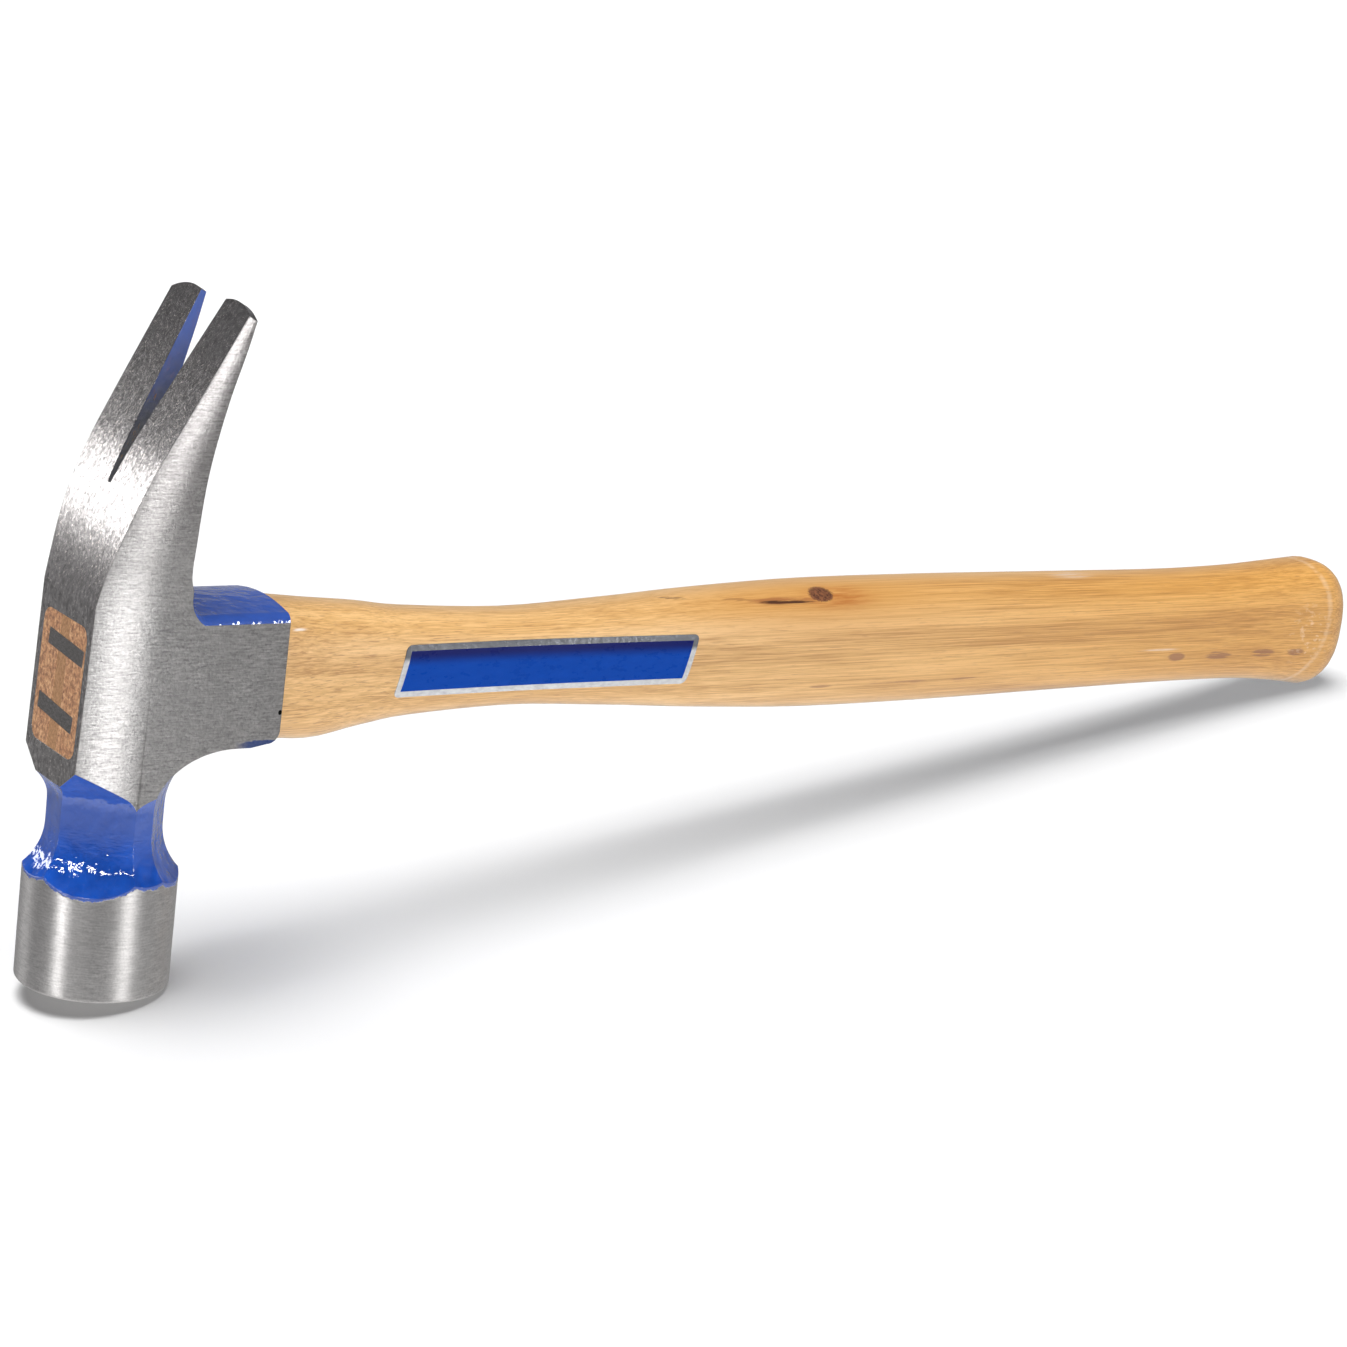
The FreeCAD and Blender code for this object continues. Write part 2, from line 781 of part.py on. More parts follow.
def rest_placement(parts):
    """Turns the hammer down on to the floor and centres it over the origin."""
    tilt = math.degrees(rest_tilt(parts["handle"]))
    turned = Rotation(Vector(0, 1, 0), tilt)
    turn = Placement(Vector(0, 0, 0), turned)
    moved = [shape.transformed(turn.toMatrix()) for shape in parts.values()]
    boxes = [shape.optimalBoundingBox(False, False) for shape in moved]
    middle = (min(box.XMin for box in boxes) + max(box.XMax for box in boxes)) / 2
    floor = min(box.ZMin for box in boxes)
    return Placement(Vector(-middle, 0, -floor), turned), tilt


def main():
    parts = {
        "hammer_head": hammer_head(),
        "handle": handle(),
        "wood_wedge": wood_wedge(),
        "steel_wedge_claw_side": claw_side_wedge(0).cut(eye_face_trim()),
        "steel_wedge_face_side": face_side_wedge(0).cut(eye_face_trim()),
        "handle_label": handle_label(),
    }
    placement, tilt = rest_placement(parts)
    print("rest tilt", round(tilt, 3), "placement", placement.Base)
    os.makedirs("parts", exist_ok=True)
    for name, shape in parts.items():
        placed = shape.transformed(placement.toMatrix())
        if placed.ShapeType == "Compound" and len(placed.Solids) == 1:
            placed = placed.Solids[0]
        placed.exportStep(os.path.join("parts", name + ".step"))
        print(name, placed.ShapeType, len(placed.Solids), placed.isValid(), round(placed.Volume))


main()
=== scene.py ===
# %% [markdown]
# # A framing hammer, dressed for its portrait
# The solids of this hammer come from the CAD model: the forged head, the hickory handle,
# the wooden wedge, the two steel wedges and the foil label. This lesson loads them as a
# fixed frame and then gives the object its looks: smooth close meshes where the CAD's are
# coarse, a material for each finish, a floor, soft lamps and a camera.
# The first cell loads the frame.

# %% Load the frame
import json
import math
import bpy
import bmesh
import numpy as np
from mathutils import Matrix, Vector
from mathutils.bvhtree import BVHTree


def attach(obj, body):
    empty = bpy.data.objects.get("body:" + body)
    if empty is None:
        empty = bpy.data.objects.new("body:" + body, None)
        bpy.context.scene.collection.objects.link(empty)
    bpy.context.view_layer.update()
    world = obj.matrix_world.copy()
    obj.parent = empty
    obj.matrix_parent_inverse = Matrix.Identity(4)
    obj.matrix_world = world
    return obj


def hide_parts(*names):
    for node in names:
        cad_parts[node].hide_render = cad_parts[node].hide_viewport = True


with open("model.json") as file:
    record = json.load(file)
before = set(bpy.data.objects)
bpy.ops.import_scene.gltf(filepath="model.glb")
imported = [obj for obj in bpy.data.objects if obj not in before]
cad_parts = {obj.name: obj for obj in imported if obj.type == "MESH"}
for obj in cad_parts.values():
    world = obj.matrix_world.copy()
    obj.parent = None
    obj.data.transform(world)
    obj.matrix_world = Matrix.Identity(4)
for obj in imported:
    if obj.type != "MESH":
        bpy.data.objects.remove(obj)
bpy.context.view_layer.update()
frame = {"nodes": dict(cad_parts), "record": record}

# %% [markdown]
# ## The drawing position
# A hammer is easiest to draw upright, in millimetres: x along the handle away from the
# head, z from the striking face up to the claws, and y through the thickness. The finished
# hammer lies tilted on its face and its butt. The mount on the striking face tells both
# the tilt and the place of the poll's centre, so upright points can be carried over
# without any fitting.

# %% From upright millimetres to the frame's metres
face_mount = frame["record"]["mounts"][0]
tilt = math.asin(-face_mount["axis"][0])
base = Vector(face_mount["pos_m"])
to_frame = Matrix.Translation(base) @ Matrix.Rotation(tilt, 4, "Y") @ Matrix.Scale(0.001, 4)
print("tilt in degrees", round(math.degrees(tilt), 3), "poll centre", tuple(base))


# %% [markdown]
# ## Solids from outlines and rings
# The head was forged and then milled: flat blanks, round-nosed cutters, a tapered eye. The
# same order works with meshes. A `tube` joins closed rings of points into a solid with
# flat ends, and a `slab` is the tube between one outline and its copy across the
# thickness. Each solid carries one material, so that after a cut the new faces show which
# tool made them.

# %% From points to an object
def rework(mesh, extra=None, merge=None):
    """Takes in another mesh, merges doubled points and turns all the faces outwards."""
    work = bmesh.new()
    work.from_mesh(mesh)
    if extra:
        work.from_mesh(extra)
    if merge:
        bmesh.ops.remove_doubles(work, verts=work.verts, dist=merge)
    bmesh.ops.recalc_face_normals(work, faces=work.faces)
    work.to_mesh(mesh)
    work.free()


def new_object(name, verts, faces, material):
    mesh = bpy.data.meshes.new(name)
    mesh.from_pydata([tuple(v) for v in verts], [], faces)
    mesh.materials.append(material)
    rework(mesh)
    obj = bpy.data.objects.new(name, mesh)
    bpy.context.scene.collection.objects.link(obj)
    return obj


# %% Outlines and solids
def arc(cx, cz, radius, start, end, steps):
    """Points on an arc in a plane, angles in degrees."""
    angles = np.radians(np.linspace(start, end, steps + 1))
    return [(cx + radius * math.cos(a), cz + radius * math.sin(a)) for a in angles]


def tube(name, rings, material):
    count = len(rings[0])
    verts = [v for ring in rings for v in ring]
    faces = [tuple(range(count)), tuple(range(len(verts) - count, len(verts)))]
    for r in range(len(rings) - 1):
        for i in range(count):
            j = (i + 1) % count
            a = r * count
            faces.append((a + i, a + j, a + count + j, a + count + i))
    return new_object(name, verts, faces, material)


def slab(name, outline, half_width, material):
    near = [(x, -half_width, z) for x, z in outline]
    far = [(x, half_width, z) for x, z in outline]
    return tube(name, [near, far], material)


print("a quarter turn in 4 steps has", len(arc(0, 0, 1, 0, 90, 4)), "points")

# %% [markdown]
# ## Strokes of a tool
# A cutter's stroke is a Boolean modifier: the tool is taken away from the piece, joined to
# it, or only what both share is kept. The solver called Manifold is quick and keeps closed
# solids closed, and `TRANSFER` lets the cut faces keep the tool's material. After each
# stroke the result is frozen into a plain mesh and the tool is thrown away.


# %% Freeze and carve
def freeze(obj):
    """Turns what the modifiers make into the object's own plain mesh."""
    bpy.context.view_layer.update()
    view = obj.evaluated_get(bpy.context.evaluated_depsgraph_get())
    mesh = bpy.data.meshes.new_from_object(view, preserve_all_data_layers=True,
                                           depsgraph=bpy.context.evaluated_depsgraph_get())
    obj.modifiers.clear()
    obj.data = mesh


def carve(obj, tool, operation="DIFFERENCE"):
    """One stroke of a tool: cut away, join, or keep what both share."""
    step = obj.modifiers.new("stroke", "BOOLEAN")
    step.operation = operation
    step.solver = "MANIFOLD"
    step.material_mode = "TRANSFER"
    step.object = tool
    freeze(obj)
    bpy.data.objects.remove(tool)


# %% [markdown]
# ## Smooth lines
# The underside of the claws, the spread of the claws and the handle's swell are smooth
# curves through a few chosen points. Between two points the curve is a cubic that takes
# its slope from the neighbours, which never swings out as a spline of high degree would.

# %% A smooth curve through points
def smooth_line(points, steps, start=None, end=None):
    """A smooth curve through points: each stretch bends evenly into the next."""
    p = np.array(points, float)
    gaps = np.linalg.norm(np.diff(p, axis=0), axis=1)
    t = np.concatenate([[0], np.cumsum(gaps)])
    slopes = np.gradient(p, t, axis=0)
    if start is not None:
        slopes[0] = start
    if end is not None:
        slopes[-1] = end
    out = []
    for i, gap in enumerate(gaps):
        for k in range(steps + (i == len(gaps) - 1)):
            s = k / steps
            a = (1 + 2 * s) * (1 - s) ** 2
            b = s * (1 - s) ** 2 * gap
            c = s * s * (3 - 2 * s)
            d = s * s * (s - 1) * gap
            out.append(tuple(a * p[i] + b * slopes[i] + c * p[i + 1] + d * slopes[i + 1]))
    return out


# %% [markdown]
# ## The line of the front
# In the side view the eye face leans a little, then the claws bend away on an arc and run
# straight. One function gives that line at every height; the blank is cut to it, and the
# cheeks' finish needs to know how far behind it a point lies.

# %% Sizes of the head in the side view
poll_radius = 19.6
eye_face_low = 60.1
eye_face_reach = 16.2
eye_face_lean = 2.4
crease_height = 101.8
bend_start_angle = 10.2
bend_end_angle = 27.5
bend_end = (-1.0, 141.2)
claw_end_height = 177.0
claw_reach = 17.9
socket_end_x = 38.9
socket_top = 100.2
root_x = 11.0
root_radius = 4.1
overrun = 3.0
lean = math.tan(math.radians(eye_face_lean))
claw_angle = math.radians(bend_end_angle)
print("the claws rise", round(claw_end_height - socket_top, 1), "mm over the socket")


# %% Front line
def eye_face_x(z):
    return -eye_face_reach + (z - eye_face_low) * lean


crease = (eye_face_x(crease_height), crease_height)
chord = math.dist(crease, bend_end)
bend_radius = chord / 2 / math.sin(math.radians(bend_end_angle - bend_start_angle) / 2)
bend_centre = (bend_end[0] + bend_radius * math.cos(claw_angle),
               bend_end[1] - bend_radius * math.sin(claw_angle))


def front_x(z):
    if z <= crease_height:
        return eye_face_x(z)
    if z <= bend_end[1]:
        return bend_centre[0] - math.sqrt(bend_radius ** 2 - (z - bend_centre[1]) ** 2)
    return bend_end[0] + (z - bend_end[1]) * math.tan(claw_angle)


print("bend radius", round(bend_radius, 2),
      "tip of the claws at", round(front_x(claw_end_height), 2))

# %% [markdown]
# ## Materials are node trees
# Every finish on this hammer is procedural: noise stretched along the mark that a tool or
# the grain leaves. A few small helpers keep the trees readable: one adds a node with its
# settings, others do a sum, a smooth step or a blend of two colours.


# %% Node helpers
def add(tree, kind, inputs=(), **settings):
    node = tree.nodes.new(kind)
    for key, value in settings.items():
        setattr(node, key, value)
    for key, value in dict(inputs).items():
        if isinstance(value, bpy.types.NodeSocket):
            tree.links.new(value, node.inputs[key])
        else:
            node.inputs[key].default_value = value
    return node


def maths(tree, operation, a, b=0.0, c=0.0):
    return add(tree, "ShaderNodeMath", {0: a, 1: b, 2: c}, operation=operation).outputs[0]


def plus(tree, a, b):
    return maths(tree, "ADD", a, b)


def minus(tree, a, b):
    return maths(tree, "SUBTRACT", a, b)


def times(tree, a, b):
    return maths(tree, "MULTIPLY", a, b)


def between(tree, value, low, high, out_low=0.0, out_high=1.0):
    """A smooth step from low to high."""
    return add(tree, "ShaderNodeMapRange", {
        "Value": value, "From Min": low, "From Max": high, "To Min": out_low,
        "To Max": out_high}, interpolation_type="SMOOTHSTEP").outputs["Result"]


def blend(tree, factor, a, b, mode="MIX"):
    """Two colours mixed; the Mix node keeps its colour sockets at 6 and 7, and 2 comes out."""
    return add(tree, "ShaderNodeMix", {0: factor, 6: a, 7: b}, data_type="RGBA",
               blend_type=mode).outputs[2]


# %% [markdown]
# ## Places in upright millimetres
# Object coordinates are metres in the tilted frame. A Mapping node turns them back into
# the upright millimetres of the drawing, so that a scratch of 0.1 mm is written as 0.1 and
# a stain has the same coordinates as the outline it lies in.

# %% Places, noise and colour ramps
def upright_place(tree):
    """The point on the surface in upright millimetres."""
    place = add(tree, "ShaderNodeTexCoord").outputs["Object"]
    node = add(tree, "ShaderNodeMapping", {
        "Vector": place, "Location": to_frame.inverted().translation,
        "Rotation": (0, -tilt, 0), "Scale": (1000, 1000, 1000)}, vector_type="POINT")
    return node.outputs["Vector"]


def split(tree, spot):
    """The x, y and z of a place."""
    return add(tree, "ShaderNodeSeparateXYZ", {"Vector": spot}).outputs


def stretched(tree, place, scale, detail=4.0, rough=0.55, warp=0.0, shift=(0, 0, 0)):
    """Noise whose features are 1/scale millimetres along x, y and z."""
    move = add(tree, "ShaderNodeMapping", {
        "Vector": place, "Scale": scale, "Location": shift})
    node = add(tree, "ShaderNodeTexNoise", {
        "Vector": move.outputs["Vector"], "Scale": 1.0, "Detail": detail,
        "Roughness": rough, "Distortion": warp})
    return node.outputs["Fac"]


def ramp(tree, value, *stops):
    """Colours at places along 0..1."""
    node = add(tree, "ShaderNodeValToRGB", {"Fac": value})
    band = node.color_ramp
    while len(band.elements) < len(stops):
        band.elements.new(0.5)
    for element, (at, colour) in zip(band.elements, stops):
        element.position = at
        element.color = colour
    return node.outputs["Color"]


def blot(tree, spot, centre, size):
    """1 at a place and 0 beyond an ellipse round it."""
    near = add(tree, "ShaderNodeVectorMath", {0: spot, 1: centre}, operation="SUBTRACT")
    shrunk = add(tree, "ShaderNodeVectorMath",
                 {0: near.outputs["Vector"], 1: [1 / s for s in size]}, operation="MULTIPLY")
    reach = add(tree, "ShaderNodeVectorMath", {0: shrunk.outputs["Vector"]},
                operation="LENGTH").outputs["Value"]
    return between(tree, reach, 1.0, 0.0)


# %% A new finish and its relief
def new_finish(name, **sockets):
    """A material with one Principled shader, whose even values are set straight on it."""
    material = bpy.data.materials.new(name)
    material.use_nodes = True
    tree = material.node_tree
    tree.nodes.clear()
    shader = add(tree, "ShaderNodeBsdfPrincipled")
    output = add(tree, "ShaderNodeOutputMaterial")
    tree.links.new(shader.outputs["BSDF"], output.inputs["Surface"])
    for key, value in sockets.items():
        shader.inputs[key.replace("_", " ")].default_value = value
    return material, tree, shader


def relief(tree, shader, height, depth, edge=0.0):
    """Bump of a depth in millimetres, over edges rounded off by a radius in millimetres."""
    bump = add(tree, "ShaderNodeBump", {"Height": height, "Strength": 1.0,
                                        "Distance": depth / 1000})
    if edge:
        rounded = add(tree, "ShaderNodeBevel", {"Radius": edge / 1000}, samples=4)
        tree.links.new(rounded.outputs["Normal"], bump.inputs["Normal"])
    tree.links.new(bump.outputs["Normal"], shader.inputs["Normal"])


# %% [markdown]
# ## Blue enamel
# The neck, the top of the socket and the nail slot were dipped or brushed with a glossy
# blue enamel. Thick paint has two signs: a slow waviness that breaks its highlights, and
# small pimples where dust dried in it. Both go into the bump, and so do the sags low on
# the neck, over the flare. The blue is deepest low on the neck and painted paler and
# greyer higher up: a painted reflection of the bright table in the gloss.

# %% Enamel
enamel, tree, shader = new_finish("blue_enamel", Metallic=0.0, Roughness=0.09, IOR=2.0)
spot = upright_place(tree)
height = split(tree, spot)["Z"]
waves = stretched(tree, spot, (0.24, 0.24, 0.22), 2.0, 0.45)
deep_blue = ramp(tree, waves, (0.3, (0.001, 0.062, 0.40, 1)), (0.7, (0.003, 0.090, 0.54, 1)))
# Painted reflection: higher up the neck the blue is mixed towards a paler grey blue, which stands
# in for the bright table seen in the gloss.
haze_low, haze_high = 36.0, 46.0
painted_haze = between(tree, height, haze_low, haze_high, 0.0, 0.75)
paint = blend(tree, painted_haze, deep_blue, (0.045, 0.105, 0.42, 1))
print("enamel thins out over", haze_high - haze_low, "mm of the neck")

# %% Painted shade in the narrow end of the nail slot
slot_shade_low, slot_shade_full, slot_shade_end = 128.0, 140.0, 172.0
painted_slot_shade = times(tree, between(tree, height, slot_shade_low, slot_shade_low + 1.0),
              between(tree, height, slot_shade_end, slot_shade_full))
# Painted shade: the narrow, deep end of the slot is mixed towards near black.
paint = blend(tree, painted_slot_shade, paint, (0.008, 0.010, 0.03, 1))
tree.links.new(paint, shader.inputs["Base Color"])

# %% Waves, pimples and sags
sag_low, sag_high, sag_fade = 36.5, 43.0, 2.0
sag_zone = times(tree, between(tree, height, sag_low - sag_fade, sag_low + sag_fade),
                 between(tree, height, sag_high + sag_fade, sag_high - sag_fade))
sags = times(tree, stretched(tree, spot, (0.4, 0.4, 1.3), 2.0, 0.5), sag_zone)
pimples = stretched(tree, spot, (1.3, 1.3, 1.3), 2.0, 0.5)
skin = maths(tree, "MULTIPLY_ADD", pimples, 0.05, waves)
skin = maths(tree, "MULTIPLY_ADD", sags, 0.30, skin)
relief(tree, shader, skin, depth=0.7, edge=0.35)
print("enamel nodes", len(tree.nodes))


# %% [markdown]
# ## Ground steel
# The bare surfaces were ground on a belt or turned, and each keeps the direction of that
# work. On the cheeks the lines run along the handle, on the poll they run round it, and
# the claws' upper face has a fine, dull speckle. One function makes the family; the
# direction is in the scale of the noise: slow along the lines and quick across them. On
# the cheeks and the poll the gloss itself is stretched too, which is anisotropy. Its
# direction comes from the poll's axis and the surface's own normal.

# %% The family of steels
poll_axis = (math.sin(tilt), 0, math.cos(tilt))


def across_the_lines(tree):
    """The direction in the surface that climbs along the poll's axis."""
    normal = add(tree, "ShaderNodeNewGeometry").outputs["Normal"]
    round_way = add(tree, "ShaderNodeVectorMath", {0: poll_axis, 1: normal},
                    operation="CROSS_PRODUCT").outputs["Vector"]
    return add(tree, "ShaderNodeVectorMath", {0: normal, 1: round_way},
               operation="CROSS_PRODUCT").outputs["Vector"]


def steel(name, colour, lines, grit, roughness, depth, edge=0.0, brushed=0.0, contrast=1.0):
    """Bare steel with marks of a direction, grit of a size, and duller clouds."""
    material, tree, shader = new_finish(name, Metallic=1.0, IOR=2.5, Anisotropic=brushed)
    if brushed:
        tree.links.new(across_the_lines(tree), shader.inputs["Tangent"])
    spot = upright_place(tree)
    marks = stretched(tree, spot, lines, 4.0, 0.6)
    grain = stretched(tree, spot, (grit, grit, grit), 3.0, 0.6)
    mixed = plus(tree, times(tree, marks, 0.6), times(tree, grain, 0.4))
    dark = tuple((1 - 0.40 * contrast) * c for c in colour) + (1,)
    light = tuple(min(1.0, (1 + 0.36 * contrast) * c) for c in colour) + (1,)
    dull = tuple(0.8 * c for c in colour) + (1,)
    clouds = stretched(tree, spot, (0.09, 0.09, 0.07), 3.0, 0.5)
    tone = blend(tree, between(tree, clouds, 0.35, 0.7, 0.0, 0.35),
                 ramp(tree, mixed, (0.36, dark), (0.64, light)), dull)
    tree.links.new(tone, shader.inputs["Base Color"])
    tree.links.new(between(tree, mixed, 0.3, 0.7, roughness + 0.04, roughness - 0.04),
                   shader.inputs["Roughness"])
    relief(tree, shader, mixed, depth, edge)
    return material, tree, shader, spot, tone


# %% Cheek steel
cheek_steel, tree, shader, spot, tone = steel(
    "belt_ground_cheek_steel", (0.44, 0.428, 0.422), lines=(0.30, 1.6, 2.2), grit=1.5,
    roughness=0.33, depth=0.03, edge=0.3, brushed=1.0)
place = split(tree, spot)
print("cheek finish nodes", len(tree.nodes))

# %% [markdown]
# ## The crown's highlight
# A cheek is flat behind and falls away towards the front, so a soft bright band runs up it
# beside the front edge and on along the claw. The crown is only some tenths of a
# millimetre deep, and such a slow curve shows best when the shader bends the light itself.
# A curve node holds the front line; the distance behind it gives the share of the crown
# that lies in front of a point, and a bump follows the crown's fall.

# %% The front line as a curve node
crown_depth = 18.4
tip_crown_depth = 1.5
claw_blank_excess = 2.5
blank_end = claw_end_height + claw_blank_excess
blank_over = blank_end + overrun
curve_low, curve_span = 40.0, 145.0
reach_low, reach_span = -20.0, 45.0


def curve_point(z):
    return (z - curve_low) / curve_span, (front_x(z) - reach_low) / reach_span


level = maths(tree, "DIVIDE", minus(tree, place["Z"], curve_low), curve_span)
ridge = add(tree, "ShaderNodeFloatCurve", {"Value": level})
line = ridge.mapping.curves[0]
for z in (60, 80, 95, 102, 110, 120, 130, 141, 155, 170):
    line.points.new(*curve_point(z))
line.points[0].location = curve_point(curve_low)
line.points[-1].location = curve_point(curve_low + curve_span)
ridge.mapping.update()
ridge_x = maths(tree, "MULTIPLY_ADD", ridge.outputs["Value"], reach_span, reach_low)
print("front line held by", len(line.points), "points")

# %% The crown's fall as a bump
crown_rise = 0.035
crown_bow = 0.0525
depth = add(tree, "ShaderNodeMapRange", {
    "Value": place["Z"], "From Min": crease_height, "From Max": blank_over,
    "To Min": crown_depth, "To Max": tip_crown_depth}).outputs["Result"]
share = maths(tree, "DIVIDE", minus(tree, place["X"], ridge_x), depth)
inside = maths(tree, "MINIMUM", maths(tree, "MAXIMUM", share, 0.0), 1.0)
fall = maths(tree, "MULTIPLY_ADD", times(tree, inside, inside), -crown_bow,
             times(tree, inside, crown_rise))
fall = maths(tree, "MULTIPLY_ADD", minus(tree, share, inside), crown_rise - 2 * crown_bow, fall)
fall = times(tree, fall, depth)
bump = shader.inputs["Normal"].links[0].from_node
fine = bump.inputs["Height"].links[0].from_socket
tree.links.new(maths(tree, "MULTIPLY_ADD", fine, 0.09, fall), bump.inputs["Height"])
bump.inputs["Distance"].default_value = 0.001
print("flat slope of the fall", round(crown_rise - 2 * crown_bow, 3))

# %% [markdown]
# ## Painted shade and marks on the cheek
# The claws' sides are painted darker upwards from the cheek, as painted shade; some enamel
# ran over the socket's lower edge, and one small pit was left by the forging scale.

# %% Painted shade on the claws, a smear of enamel and a pit
# Painted shade: the claws' sides are darkened upwards, standing in for the weaker light that they
# reflect.
claw_shade_low, claw_shade_high = 104.0, 132.0
painted_claw_shade = between(tree, place["Z"], claw_shade_low, claw_shade_high, 0.0, 0.9)
tone = blend(tree, painted_claw_shade, tone, (0.76, 0.75, 0.75, 1), "MULTIPLY")
smear_height, smear_x = 64.7, 28.5
uneven = times(tree, stretched(tree, spot, (0.4, 0.4, 0.4), 3.0, 0.6), 2.2)
smear = between(tree, minus(tree, place["Z"], uneven), smear_height + 0.2, smear_height - 0.2)
smear = times(tree, smear, between(tree, place["X"], smear_x - 2.5, smear_x + 2.5, 0.0, 0.8))
tone = blend(tree, smear, tone, (0.03, 0.09, 0.36, 1))
pit = blot(tree, spot, (38.4, -15.8, 73.0), (0.9, 1.5, 1.1))
tone = blend(tree, between(tree, pit, 0.2, 0.5), tone, (0.01, 0.01, 0.01, 1))
tree.links.new(tone, shader.inputs["Base Color"])
print("cheek finish nodes", len(tree.nodes))

# %% Front of the claws, mottled and specked, and the wall of the eye
front_steel, tree, shader, spot, tone = steel(
    "dull_front_steel", (0.33, 0.315, 0.31), lines=(1.0, 0.9, 0.5), grit=1.2,
    roughness=0.23, depth=0.055, edge=0.3, contrast=1.6)
mottle = stretched(tree, spot, (0.35, 0.35, 0.35), 4.0, 0.65, 0.0, (6, 1, 4))
tone = blend(tree, between(tree, mottle, 0.50, 0.68, 0.0, 0.5), tone, (0.17, 0.16, 0.155, 1))
specks = stretched(tree, spot, (1.3, 1.3, 1.3), 2.0, 0.5, 0.0, (3, 8, 1))
tone = blend(tree, between(tree, specks, 0.61, 0.70, 0.0, 0.8), tone, (0.66, 0.61, 0.58, 1))
tree.links.new(tone, shader.inputs["Base Color"])
eye_wall_steel = steel(
    "broached_eye_steel", (0.2, 0.19, 0.18), lines=(0.2, 1.5, 1.5), grit=2.0,
    roughness=0.5, depth=0.06)[0]
print("front finish nodes", len(tree.nodes))

# %% [markdown]
# ## The poll's own finish
# The poll was turned on a lathe, so its lines run round it. The enamel of the neck ends a
# little below the scallops that the neck's cutters left on it. Those scallops follow a
# rule: over each facet the cutter's nose of radius 16.9 mm dips to a depth that depends on
# how far the round poll stands out over the facet. The shader works out that line from the
# position alone, lowers it by an uneven bleed and mixes steel and enamel there.

# %% The neck's facets
hollow_radius = 16.9
hollow_low_height = 41.9
facets = (  # turn in degrees, distance from the axis, height of its top, steep shoulder
    (-90, 14.2, 48.9, True), (90, 14.2, 47.1, False), (-35.9, 11.8, 47.5, True),
    (14.8, 15.0, 47.7, True), (51.0, 13.7, 47.1, False))
print("facets on one side", len(facets))

# %% Poll steel and how far it stands out over the facets
poll_steel, tree, shader, spot, tone = steel(
    "turned_poll_steel", (0.605, 0.59, 0.58), lines=(0.32, 0.32, 2.4), grit=1.9,
    roughness=0.44, depth=0.07, edge=0.3, brushed=0.86, contrast=0.55)
place = split(tree, spot)
across = maths(tree, "ABSOLUTE", place["Y"])
standing = None
for angle, distance, top, steep in facets:
    turn = math.radians(angle)
    over = maths(tree, "MULTIPLY_ADD", across, math.cos(turn),
                 times(tree, place["X"], math.sin(turn)))
    over = minus(tree, over, distance)
    standing = over if standing is None else maths(tree, "MAXIMUM", standing, over)
inner = minus(tree, hollow_radius, standing)
drop = maths(tree, "SQRT", minus(tree, hollow_radius ** 2, maths(tree, "POWER", inner, 2.0)))
scallop = minus(tree, hollow_low_height, drop)

# %% Enamel down to an uneven edge
bleed = times(tree, stretched(tree, spot, (0.09, 0.09, 0.02), 3.0, 0.5), 1.4)
ragged = stretched(tree, spot, (0.5, 0.5, 0.1), 3.0, 0.6, 0.0, (7, 1, 2))
bleed = minus(tree, maths(tree, "MULTIPLY_ADD", ragged, 2.0, bleed), 0.9)
above = minus(tree, place["Z"], minus(tree, scallop, bleed))
painted = between(tree, above, -0.06, 0.06)
metal = minus(tree, 1.0, painted)
old_rough = shader.inputs["Roughness"].links[0].from_socket
old_bump = shader.inputs["Normal"].links[0].from_node
old_height = old_bump.inputs["Height"].links[0].from_socket
lip = times(tree, between(tree, above, -0.25, 0.3), 3.0)
for socket, value in (
        (shader.inputs["Base Color"], blend(tree, painted, tone, (0.004, 0.065, 0.42, 1))),
        (shader.inputs["Metallic"], metal),
        (shader.inputs["Roughness"], blend(tree, painted, old_rough, (0.16, 0.16, 0.16, 1))),
        (old_bump.inputs["Height"], plus(tree, times(tree, old_height, metal), lip))):
    tree.links.new(value, socket)
print("poll finish nodes", len(tree.nodes))

# %% [markdown]
# ## The head's blank
# In the side view the head is one outline: the neck's stump, the leaning eye face, the
# claws' bend and straight run, the hollow underside and the socket. It is drawn from the
# same sizes as the CAD part, but with many more steps on every curve, because a gloss
# finish shows each flat. The outline is extruded across the thickness.

# %% The hollow underside of the claws
blank_top = socket_top + root_radius
claw_rise = claw_end_height - socket_top
underside_shares = ((0.108, 0.560), (0.241, 0.537), (0.454, 0.571), (0.694, 0.754),
                    (0.880, 0.971))
underside = [(root_x, blank_top)]
for rise_share, reach_share in underside_shares:
    underside.append((reach_share * claw_reach, socket_top + rise_share * claw_rise))
underside.append((1.126 * claw_reach, blank_end))
under_curve = smooth_line(underside, 12, start=(0, 1))
print("underside points", len(under_curve))

# %% The whole side outline
neck_cut = 44.0
back_facet_distance, back_facet_top = 14.2, 47.1
low_corner, low_rise = 3.4, 0.8
front_line = [(front_x(z), z) for z in np.linspace(blank_end, crease_height, 60)]
back_line = [(back_facet_distance, neck_cut)]
back_line += arc(back_facet_distance + hollow_radius, back_facet_top, hollow_radius,
                 180, 90, 40)
back_line += arc(socket_end_x - low_corner,
                 back_facet_top + hollow_radius + low_rise + low_corner, low_corner,
                 -90, 0, 12)
back_line += [(socket_end_x, blank_top)]
outline = front_line + [(eye_face_x(neck_cut), neck_cut)] + back_line + under_curve
print("outline points", len(outline))

